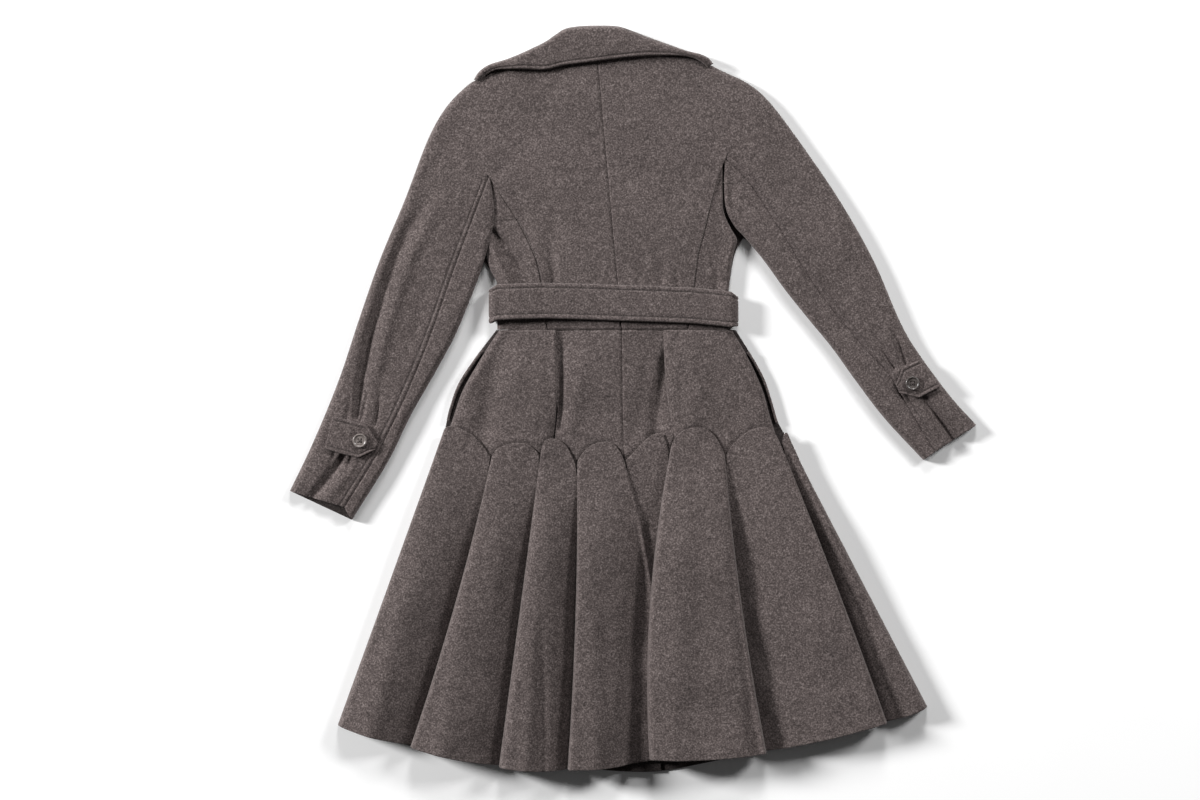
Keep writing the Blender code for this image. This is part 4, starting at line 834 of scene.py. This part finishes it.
def build_bodice_front(wool):
    """Fronts cut in one with the sleeve fronts, lapped at the centre."""
    sides = (
        ("left", LAP_LEFT, OVERARM_LEFT, FRONT_SIDE_LEFT, UNDERARM_LEFT, 2),
        ("right", LAP_RIGHT, OVERARM_RIGHT, FRONT_SIDE_RIGHT, UNDERARM_RIGHT, 3),
    )
    for side, lap, overarm, front_side, underarm, first in sides:
        lap_top = straight([(row.top_x, row.top_y, row.rise, 0.0) for row in lap])
        lap_low = straight([(row.low_x, row.low_y, row.rise, 0.0) for row in lap])
        top = joined(lap_top, run(overarm, 5, 2, 6), run(overarm, 8, 6, 13))
        waist = level_line(lap[-1].low_x, front_side[0].x, WAIST_Y, 0.0, 1)
        low = joined(lap_low, waist, run(front_side, 4), run(underarm, 8, first))
        top[len(lap_top):, 2] = 0.0
        low[len(lap_low):, 2] = 0.0
        panel(f"front_{side}", top, low, wool, a_kind="free", b_kind="free",
                      first="free", last="free", level=front_face, uneven=0.0, pitch=0.0048)
    for side, strip in (("left", COLLAR_FRONT_LEFT), ("right", COLLAR_FRONT_RIGHT)):
        a = curve([(row.a_x, row.a_y, DOUBLED, 0.0) for row in strip])
        b = curve([(row.b_x, row.b_y, DOUBLED, 0.0) for row in strip])
        panel(f"collar_front_{side}", a, b, wool, b_kind="free", first="free",
                      last="free", thick=DOUBLED, uneven=0.0, edge_round=0.0022)


def build_hips(wool):
    """Four hip panels, pleated over one another beside the centre."""
    panels = (
        ("hip_side_left", HIP_SIDE_LEFT, EDGE_ROLL, LIP_ROLL, "seam", "seam"),
        ("hip_centre_left", HIP_CENTRE_LEFT, 0.0, 0.0, "hidden", "seam"),
        ("hip_centre_right", HIP_CENTRE_RIGHT, 0.0, 0.0, "seam", "hidden"),
        ("hip_side_right", HIP_SIDE_RIGHT, HIP_ROLL, EDGE_ROLL, "seam", "seam"),
    )
    for name, rows, a_roll, b_roll, a_kind, b_kind in panels:
        a = run([(row.a_x, row.a_y, row.a_z, row.a_foot) for row in rows], 8)
        b = run([(row.b_x, row.b_y, row.b_z, row.b_foot) for row in rows], 8)
        panel(name, a, b, wool, a_kind=a_kind, b_kind=b_kind, last="hidden", a_roll=a_roll,
                      b_roll=b_roll, crown=[row.crown for row in rows], folds=HIP_FOLDS,
                      lift=beside_scallops, pitch=0.0026)


def gore_line(edge, v, shift):
    """Points of a gore's edge at shares v of its length, moved sideways."""
    x = edge.top_x + (edge.hem_x - edge.top_x) * v + 4.0 * edge.bow * v * (1.0 - v) + shift
    return np.column_stack([x, edge.top_y + (edge.hem_y - edge.top_y) * v])


def swell(v):
    """Share of a gore's depth that is reached at shares v of its length."""
    return smooth(v / 0.4) * (0.75 + 0.25 * v)


def grown(base, full, v):
    """Height from a gore's top to its hem: crests take the cloth's full roundness, hollows as cut."""
    height = full - base
    return base + (height * CREST_FULLNESS if height > 0.0 else height) * swell(v)


def gore_end(edge, over, v, z, overlap, reach):
    """Kind, height, foot and reach of one side of a gore at shares v."""
    if edge.over == "none":
        return ("roll", z, np.full_like(v, FRONT_FACE + SEAM), np.full_like(v, EDGE_ROLL))
    if edge.over == over:
        low = edge.under_z + (edge.under_hem - edge.under_z) * swell(v) - CLOTH
        foot = low + (CLOTH + SEAM - 0.0001) * smooth(v / OVERLAP_START) + LIP_LIFT * swell(v)
        soft = LIP_ROLL + (reach - LIP_ROLL) * smooth(v / OVERLAP_FULL)
        return ("roll", z, foot, soft)
    return ("tuck", z, np.zeros_like(v), overlap)


def build_gores(wool):
    """Flounce gores, each scallop top lapped over the yoke and each side over or under the next."""
    v = spaced(GORE_LENGTH, 0.0034, True, True) / GORE_LENGTH
    start = smooth(v / OVERLAP_START)
    apart = SEAM / 2 + TOP_GAP * (1.0 - start)
    for number, (gore, fall) in enumerate(zip(GORES, GORE_FALLS)):
        left, right = GORE_EDGES[number:number + 2]
        lap = gore.overlap * smooth((v - OVERLAP_START) / (OVERLAP_FULL - OVERLAP_START))
        a_z = grown(gore.base_a, gore.a_z, v) + (OVERLAP_STEP * start if left.over == "right" else 0.0)
        b_z = grown(gore.base_b, gore.b_z, v) + (OVERLAP_STEP * start if right.over == "left" else 0.0)
        mid_z = grown((gore.base_a + gore.base_b) / 2, gore.mid_z, v)
        a = gore_line(left, v, apart - lap if left.over == "left" else SEAM / 2)
        b = gore_line(right, v, lap - apart if right.over == "right" else -SEAM / 2)
        a_end = gore_end(left, "right", v, a_z, lap, LIP_REACH[number])
        b_end = gore_end(right, "left", v, b_z, lap, LIP_REACH[number + 1])
        if number == FOLD_GORE:
            foot = a_end[2] + (FOLD_FOOT - a_end[2]) * smooth((v - 0.32) / 0.10)
            a_end = (a_end[0], a_end[1], foot, a_end[3])
        across = b - a
        width = np.hypot(*across.T)
        half = 0.5 ** fall[0] if fall[1] == "b" else 1.0 - 0.5 ** fall[0]
        crown = mid_z - a_z - (b_z - a_z) * half
        s, z, columns = section(width, a_end, b_end, crown, GORE_PITCH, 0.0, None, fall)
        s_in, z_in, _ = section(width, a_end, b_end, crown, GORE_PITCH, CLOTH, columns, fall)
        rise = scallop(gore, np.clip(s / width[:, None], 0.0, 1.0))
        grids = []
        for places, heights in ((s, z), (s_in, z_in)):
            u = places / width[:, None]
            x = a[:, None, 0] + across[:, None, 0] * u
            y = a[:, None, 1] + across[:, None, 1] * u
            y = y + rise * (1.0 - v[:, None]) - 4.0 * HEM_BOW * u * (1.0 - u) * v[:, None]
            grids.append(np.dstack([x, y, heights]))
        outer, inner = grids
        x, y = outer[:, :, 0], outer[:, :, 1]
        change = fold_lift(GORE_FOLDS, x, y) + handle(x, y)
        for (kind, _, _, reach), away in ((a_end, s), (b_end, width[:, None] - s)):
            if kind == "roll":
                change = change * smooth(away / (2.0 * reach[:, None]))
            else:
                change = change * smooth((away - 0.6 * reach[:, None]) / 0.02)
        room = FRONT_FACE + LAP_RISE + SEAM + CLOTH - outer[:, :, 2]
        change = np.maximum(change, np.minimum(room, 0.0))
        outer[:, :, 2] += change
        inner[:, :, 2] += change
        for away, radius in zip(run_lengths(outer), (GORE_TOP_ROUND, EDGE_ROUND)):
            outer[:, :, 2] -= rounded(away, radius)
            inner[:, :, 2] += rounded(away, radius)
        shell(f"gore_back_{number + 1}", outer, inner, wool)


def build_skirt_front(wool):
    """Plain front of the skirt: yoke and flounce halves, lapped at the centre."""
    hem = run(FRONT_HEM, 60)
    hems = {"left": hem[hem[:, 0] < LAP_HEMS["left"]], "right": hem[hem[:, 0] > LAP_HEMS["right"]][::-1]}
    for side, outline, rise in (("left", HIP_OUTLINE_LEFT, LAP_RISE), ("right", HIP_OUTLINE_RIGHT, 0.0)):
        edge = run(outline, 8)
        edge[:, 2:] = 0.0
        lap = edge.copy()
        lap[:, 0] = LAP_EDGES[side]

        def level(x, y, rise=rise):
            return front_face(x, y) + rise * np.clip((x + 0.0960) / 0.037, 0.0, 1.0)

        panel(f"hip_front_{side}", edge, lap, wool, a_kind="free", b_kind="free",
                      level=level, uneven=0.0, pitch=0.0050)
        low_x, low_y = hems[side][:, :2].T
        share = np.linspace(0.0, 1.0, len(low_x))
        top_x = edge[-1, 0] + (LAP_EDGES[side] - edge[-1, 0]) * share
        top_z = FRONT_FACE + rise * smooth((top_x + 0.098) / 0.03)
        low_z = FRONT_FACE + rise * smooth((low_x + 0.105) / 0.03)
        tops = np.column_stack([top_x, np.full_like(share, YOKE_Y), top_z, np.zeros_like(share)])
        lows = np.column_stack([low_x, low_y, low_z, np.zeros_like(share)])
        panel(f"gore_front_{side}", tops, lows, wool, b_kind="free", first="free",
                      last="free", uneven=0.0, pitch=0.0060)


def build_collar(wool, thread):
    """Collar folded over the back neck, its free edge standing off the back."""
    a = curve([(row.a_x, row.a_y, row.a_z, DOUBLED + SEAM) for row in COLLAR])
    a[:, 2] -= COLLAR_FOLD_SETTLE * smooth((a[:, 2] - 0.0190) / 0.0080)
    b = curve([(row.b_x, row.b_y, row.b_z, 0.0) for row in COLLAR])
    b[:, 2] -= COLLAR_EDGE_SETTLE * smooth((b[:, 2] - 0.0170) / 0.0060)
    collar = panel("collar", a, b, wool, b_kind="free", first="free", last="free", a_roll=COLLAR_ROLL,
                   crown=COLLAR_CROWN, thick=DOUBLED, pitch=0.0024, edge_round=0.0023,
                   pressed=(("b", EDGE_STITCH, everywhere),))
    inset = NEAR.tolist().index(EDGE_STITCH) + 1
    rows = stitch_row("collar_stitches", [collar[1][4:-4, -inset]], thread)


def build_belt(wool, thread):
    """Belt of doubled cloth, a flat ring round the waist."""
    line = np.array(BELT_LINE)
    radius = (BELT_UNDER + DOUBLED) / 2
    left, right = BELT_END_LEFT + radius, BELT_END_RIGHT - radius
    back_x = np.linspace(left, right, BELT_STEPS)
    turns = np.radians(np.linspace(90.0, -90.0, 25)[1:-1])
    cos, sin, none = np.cos(turns), np.sin(turns), np.zeros(len(turns))
    rise = np.interp(back_x, line[:, 0], line[:, 2])
    front_x = np.linspace(right, left, 61)
    flat, on_back = np.zeros(len(front_x)), np.ones(len(back_x))
    # Columns: x, z, outward x, outward z, share of the cloth's unevenness
    path = np.vstack([
        np.column_stack([back_x, 2 * radius + rise, 0.0 * on_back, on_back, on_back]),
        np.column_stack([right + radius * cos, radius + radius * sin, cos, sin, none]),
        np.column_stack([front_x, flat, flat, flat - 1.0, flat]),
        np.column_stack([left - radius * cos, radius - radius * sin, -cos, -sin, none]),
    ])
    at, height, out_x, out_z, loose = path.T
    half = BELT_WIDTH / 2
    across = half - np.array((0.0, 0.0003, 0.0009, 0.0018, 0.0030, 0.0044, 0.0056, STITCH_INSET, 0.0080,
                              0.0096, 0.0125, 0.0160, 0.0205))
    across = np.concatenate([across, [0.0], -across[::-1]])
    edge = half - np.abs(across)
    low = rounded(edge, BELT_ROUND)
    drop = low + groove(edge - STITCH_INSET, PRESS_DEPTH, PRESS_HALF)
    ring_across = np.concatenate([across, across[::-1][1:-1]])
    ring_deep = np.concatenate([drop, DOUBLED - low[::-1][1:-1]])
    mid = np.interp(at, line[:, 0], line[:, 1])
    wave = handle(at, mid) * loose * smooth((at - left) / 0.02) * smooth((right - at) / 0.02)
    near_left = 1.0 - smooth((at - BELT_END_LEFT) / 0.014)
    near_right = 1.0 - smooth((BELT_END_RIGHT - at) / 0.012)
    top_share = 1.0 - 0.24 * near_left - 0.18 * near_right
    low_share = 1.0 + 0.16 * near_left - 0.12 * near_right
    share = np.where(ring_across > 0.0, top_share[:, None], low_share[:, None])
    x = at[:, None] - out_x[:, None] * ring_deep
    y = mid[:, None] + ring_across * share
    z = height[:, None] - out_z[:, None] * ring_deep + wave[:, None]
    points = np.dstack([x, y, z])
    count, size = points.shape[:2]
    faces = []
    for i in range(count):
        j = (i + 1) % count
        for k in range(size):
            m = (k + 1) % size
            faces.append((i * size + k, i * size + m, j * size + m, j * size + k))
    piece = add_piece("belt_cloth", points.reshape(-1, 3).tolist(), faces, wool, "belt")
    stitched = np.flatnonzero(np.isclose(edge, STITCH_INSET))
    rows = stitch_row("belt_stitches", [points[:BELT_STEPS, k] for k in stitched], thread)


def build_tabs(wool, thread, horn):
    """Pointed cuff tabs with a sewn button each."""
    top = SLEEVE_FACE + SEAM + TAB_THICK
    inset = NEAR.tolist().index(EDGE_STITCH)
    for side, rows in (("left", TAB_LEFT), ("right", TAB_RIGHT)):
        a = straight([(row.a_x, row.a_y, top, 0.0) for row in rows])
        b = straight([(row.b_x, row.b_y, top, 0.0) for row in rows])
        tab = panel(f"cuff_tab_{side}", a, b, wool, a_kind="free", b_kind="free", first="free", last="free",
                    thick=TAB_THICK, pitch=0.0020, edge_round=0.0018,
                    pressed=(("a", EDGE_STITCH, everywhere), ("b", EDGE_STITCH, everywhere)))
        lines = [tab[1][2:-6, inset], tab[1][2:-6, -inset - 1]]
        stitch_row(f"cuff_tab_stitches_{side}", lines, thread)
    for side, (x, y) in BUTTONS.items():
        z = top + SEAM + float(handle(np.array([x]), np.array([y]))[0])
        build_button(side, x, y, z, horn[side], thread)


def build_button(side, x, y, z, horn, thread):
    """Round button with a raised rim, a dished middle and four thread holes."""
    rim = ((0.80, 0.0), (0.93, 0.06), (1.0, 0.30), (1.0, 0.55), (0.97, 0.80), (0.92, 0.95), (0.86, 1.0),
           (0.80, 0.97), (0.75, 0.86), (0.70, 0.74), (0.62, 0.69))
    floor = z + rim[-1][1] * BUTTON_HEIGHT
    shape = bmesh.new()

    def ring(cx, cy, radius, height, count):
        verts = []
        for i in range(count):
            turn = math.tau * i / count
            place = (cx + radius * math.cos(turn), cy + radius * math.sin(turn), height)
            verts.append(shape.verts.new(place))
        return verts

    def bridge(lower, upper):
        for i in range(len(lower)):
            j = (i + 1) % len(lower)
            shape.faces.new((lower[i], lower[j], upper[j], upper[i]))

    rings = [ring(x, y, share * BUTTON_RADIUS, z + h * BUTTON_HEIGHT, 64) for share, h in rim]
    for lower, upper in zip(rings, rings[1:]):
        bridge(lower, upper)
    low_loops, high_loops = [rings[0]], [rings[-1]]
    holes = []
    for i in range(4):
        turn = math.tau * (i + 0.5) / 4
        cx = x + BUTTON_HOLE_SPACING / math.sqrt(2) * math.cos(turn)
        cy = y + BUTTON_HOLE_SPACING / math.sqrt(2) * math.sin(turn)
        holes.append(np.array((cx, cy)))
        low_loops.append(ring(cx, cy, BUTTON_HOLE, z, 20))
        lip = ring(cx, cy, BUTTON_HOLE, floor - 0.0004, 20)
        bridge(low_loops[-1], lip)
        high_loops.append(ring(cx, cy, BUTTON_HOLE * 1.25, floor, 20))
        bridge(lip, high_loops[-1])
    for loops in (low_loops, high_loops):
        edges = [shape.edges.get(pair) for loop in loops for pair in zip(loop, loop[1:] + loop[:1])]
        bmesh.ops.triangle_fill(shape, edges=edges, use_beauty=True)
    shape.verts.index_update()
    vertices = [tuple(v.co) for v in shape.verts]
    faces = [tuple(v.index for v in f.verts) for f in shape.faces]
    shape.free()
    add_piece(f"cuff_button_{side}_horn", vertices, faces, horn, f"cuff_button_{side}", 40.0)
    t = np.linspace(0.06, 0.94, 9)[:, None]
    tubes = []
    for start, end in (holes[::2], holes[1::2]):
        line = np.hstack([start + (end - start) * t, floor + 0.0001 + 0.0005 * np.sin(np.pi * t)])
        along = np.vstack([line[1:], line[-1:]]) - np.vstack([line[:1], line[:-1]])
        along /= np.linalg.norm(along, axis=1)[:, None]
        wide = 1.5 * BUTTON_THREAD
        tubes.append([(point, way, wide, BUTTON_THREAD, 0.0) for point, way in zip(line, along)])
    add_tubes(f"button_thread_{side}", tubes, 8, thread)


def build_pocket_welts(wool):
    """Folded edges of the pockets in the side seams of the yoke."""
    for side, outline, inward in (("left", HIP_OUTLINE_LEFT, 1.0), ("right", HIP_OUTLINE_RIGHT, -1.0)):
        edge = run(outline, 9, 0, 5)[2 * FINE:-FINE]
        edge[:, 2] = WELT_THICK + 2 * SEAM
        edge[:, 3] = 0.0
        inner = edge.copy()
        inner[:, 0] += inward * WELT_WIDTH * 0.86
        inner[:, 1] -= WELT_WIDTH * 0.5
        piece, outer = panel(f"pocket_welt_{side}", edge, inner, wool, a_kind="free", b_kind="free",
                             first="free", last="free", thick=WELT_THICK, level=front_face, uneven=0.0,
                             pitch=0.0020, edge_round=0.0015)


class Nodes:
    """Short calls for building a material's nodes."""

    def __init__(self, name):
        self.material = bpy.data.materials.new(name)
        self.material.use_nodes = True
        self.nodes = self.material.node_tree.nodes
        self.links = self.material.node_tree.links
        self.surface = self.nodes["Principled BSDF"]
        self.place = self.nodes.new("ShaderNodeTexCoord").outputs["Object"]

    def noise(self, scale, detail=2.0, rough=0.5, stretch=None, turn=0.0):
        """Noise in metres, stretched along one direction if asked."""
        place = self.place
        if stretch:
            mapping = self.nodes.new("ShaderNodeMapping")
            mapping.inputs["Scale"].default_value = stretch
            mapping.inputs["Rotation"].default_value = (0.0, 0.0, math.radians(turn))
            self.links.new(place, mapping.inputs["Vector"])
            place = mapping.outputs["Vector"]
        node = self.nodes.new("ShaderNodeTexNoise")
        node.inputs["Scale"].default_value = scale
        node.inputs["Detail"].default_value = detail
        node.inputs["Roughness"].default_value = rough
        self.links.new(place, node.inputs["Vector"])
        return node.outputs["Fac"]

    def math(self, kind, first, second):
        """One arithmetic step on sockets or numbers."""
        node = self.nodes.new("ShaderNodeMath")
        node.operation = kind
        for socket, value in zip(node.inputs, (first, second)):
            if isinstance(value, (int, float)):
                socket.default_value = value
            else:
                self.links.new(value, socket)
        return node.outputs[0]

    def mix(self, parts):
        """Weighted sum of sockets."""
        total = None
        for socket, weight in parts:
            part = self.math("MULTIPLY", socket, weight)
            total = part if total is None else self.math("ADD", total, part)
        return total

    def ramp(self, value, stops, shade=1.0):
        """Colours along a value, all made darker by a shade."""
        node = self.nodes.new("ShaderNodeValToRGB")
        points = node.color_ramp.elements
        while len(points) < len(stops):
            points.new(0.5)
        for point, (place, colour) in zip(points, stops):
            point.position = place
            point.color = (*(shade * part for part in colour), 1.0)
        self.links.new(value, node.inputs["Fac"])
        return node.outputs["Color"]

    def tint(self, colour, value):
        """A colour made lighter or darker by a value around 1."""
        node = self.nodes.new("ShaderNodeVectorMath")
        node.operation = "SCALE"
        self.links.new(colour, node.inputs[0])
        self.links.new(value, node.inputs["Scale"])
        return node.outputs["Vector"]

    def bump(self, height, strength, distance):
        """Small relief."""
        node = self.nodes.new("ShaderNodeBump")
        node.inputs["Strength"].default_value = strength
        node.inputs["Distance"].default_value = distance
        self.links.new(height, node.inputs["Height"])
        self.links.new(node.outputs["Normal"], self.surface.inputs["Normal"])

    def colour(self, socket):
        self.links.new(socket, self.surface.inputs["Base Color"])

    def values(self, **named):
        """Plain values of the surface, with underscores for spaces in their names."""
        for name, value in named.items():
            self.surface.inputs[name.replace("_", " ")].default_value = value


def wool_material(name, shade):
    """Felted wool: brown-grey fibres with dark and pale ones among them."""
    made = Nodes(name)
    speckle = made.noise(430.0, 3.0, 0.62)
    fibre_a = made.noise(1.0, 2.0, 0.6, (330.0, 1150.0, 600.0), 24.0)
    fibre_b = made.noise(1.0, 2.0, 0.6, (1100.0, 340.0, 600.0), -18.0)
    blotch = made.noise(120.0, 2.0, 0.5)
    broad = made.noise(11.0, 2.0, 0.5)
    mixed = made.mix(((speckle, 0.46), (fibre_a, 0.22), (fibre_b, 0.22), (blotch, 0.10)))
    tones = ((0.38, (0.034, 0.026, 0.0245)), (0.49, (0.112, 0.087, 0.083)), (0.57, (0.238, 0.194, 0.186)),
             (0.66, (0.42, 0.36, 0.345)))
    uneven = made.math("ADD", made.math("MULTIPLY", broad, 0.24), 0.88)
    made.colour(made.tint(made.ramp(mixed, tones, shade), uneven))
    made.bump(made.mix(((speckle, 0.5), (fibre_a, 0.25), (fibre_b, 0.25))), 0.55, 0.0007)
    made.values(Roughness=0.93, Specular_IOR_Level=0.25, Sheen_Weight=0.16, Sheen_Roughness=0.55,
                Sheen_Tint=(0.80, 0.74, 0.72, 1.0))
    return made.material


def thread_material():
    """Twisted sewing thread, a little darker than the wool."""
    made = Nodes("sewing_thread")
    twist = made.noise(1.0, 1.0, 0.5, (900.0, 900.0, 900.0), 30.0)
    made.colour(made.ramp(twist, ((0.35, (0.050, 0.040, 0.037)), (0.65, (0.098, 0.080, 0.076)))))
    made.bump(twist, 0.3, 0.0002)
    made.values(Roughness=0.72)
    return made.material


def horn_material(name, shade):
    """Grey-brown horn with faint streaks and a soft polish."""
    made = Nodes(name)
    streak = made.noise(1.0, 4.0, 0.55, (160.0, 620.0, 300.0), 35.0)
    cloud = made.noise(240.0, 3.0, 0.5)
    mixed = made.mix(((streak, 0.6), (cloud, 0.4)))
    tones = ((0.34, (0.095, 0.080, 0.073)), (0.50, (0.170, 0.146, 0.136)), (0.66, (0.27, 0.235, 0.22)))
    made.colour(made.ramp(mixed, tones, shade))
    made.bump(mixed, 0.08, 0.0002)
    gloss = made.math("ADD", made.math("MULTIPLY", cloud, 0.2), 0.26)
    made.links.new(gloss, made.surface.inputs["Roughness"])
    made.values(Coat_Weight=0.15)
    return made.material


def floor_material():
    """Pale matt studio floor."""
    made = Nodes("studio_floor")
    grain = made.noise(3.0, 2.0, 0.5)
    made.colour(made.ramp(grain, ((0.3, (0.95, 0.95, 0.95)), (0.7, (0.97, 0.97, 0.97)))))
    made.values(Roughness=0.9, Specular_IOR_Level=0.1)
    return made.material


def build_studio():
    """Pale floor, a soft key lamp on the left, weaker ones right and above, and a camera overhead."""
    scene = bpy.context.scene
    scene.view_settings.view_transform = "Standard"
    floor_mesh = bpy.data.meshes.new("floor")
    corners = ((-14.0, -14.0), (14.0, -14.0), (14.0, 14.0), (-14.0, 14.0))
    floor_mesh.from_pydata([(x, y, -0.0002) for x, y in corners], [], [(0, 1, 2, 3)])
    floor_mesh.materials.append(floor_material())
    floor = bpy.data.objects.new("floor", floor_mesh)
    scene.collection.objects.link(floor)
    lamps = (
        ("left", (-7.3, 2.4, 3.1), 1.8, 1100.0),
        ("right", (4.4, 3.4, 3.0), 1.6, 250.0),
        ("top", (0.3, 5.0, 2.6), 1.6, 170.0),
    )
    for name, (x, y, z), size, power in lamps:
        lamp = bpy.data.lights.new(name, "AREA")
        lamp.shape = "DISK"
        lamp.size = size
        lamp.energy = power
        holder = bpy.data.objects.new(name, lamp)
        holder.location = (x, y, z)
        holder.rotation_euler = (math.acos(z / math.sqrt(x * x + y * y + z * z)), 0.0, math.atan2(x, -y))
        scene.collection.objects.link(holder)
    world = bpy.data.worlds.new("studio")
    world.use_nodes = True
    background = world.node_tree.nodes["Background"]
    background.inputs["Color"].default_value = (1.0, 1.0, 1.0, 1.0)
    background.inputs["Strength"].default_value = 0.06
    scene.world = world
    camera = bpy.data.cameras.new("camera")
    camera.lens = 85.0
    camera.sensor_width = 36.0
    camera.clip_end = 20.0
    viewer = bpy.data.objects.new("camera", camera)
    viewer.location = (-0.0448, -0.0014, 3.967)
    scene.collection.objects.link(viewer)
    scene.camera = viewer


WOOL = wool_material("wool_heather", 0.60)
# The front pieces are the same wool as the back, given a much darker copy: painted shade for the coat's
# shadowed inside seen at the cuff mouths, between the gores and at the hem.
WOOL_FRONT_PAINTED_SHADE = wool_material("wool_front_painted_shade", 0.26)
THREAD = thread_material()
# Both buttons are the same horn; the right one gets a darker copy as painted shade, and the left one keeps
# the plain tone.
HORN = {"left": horn_material("button_horn_pale", 1.0), "right": horn_material("button_horn_painted_shade", 0.36)}
build_bodice(WOOL, THREAD)
build_bodice_front(WOOL_FRONT_PAINTED_SHADE)
build_hips(WOOL)
build_gores(WOOL)
build_skirt_front(WOOL_FRONT_PAINTED_SHADE)
build_collar(WOOL, THREAD)
build_belt(WOOL, THREAD)
build_tabs(WOOL, THREAD, HORN)
build_pocket_welts(WOOL)
build_studio()
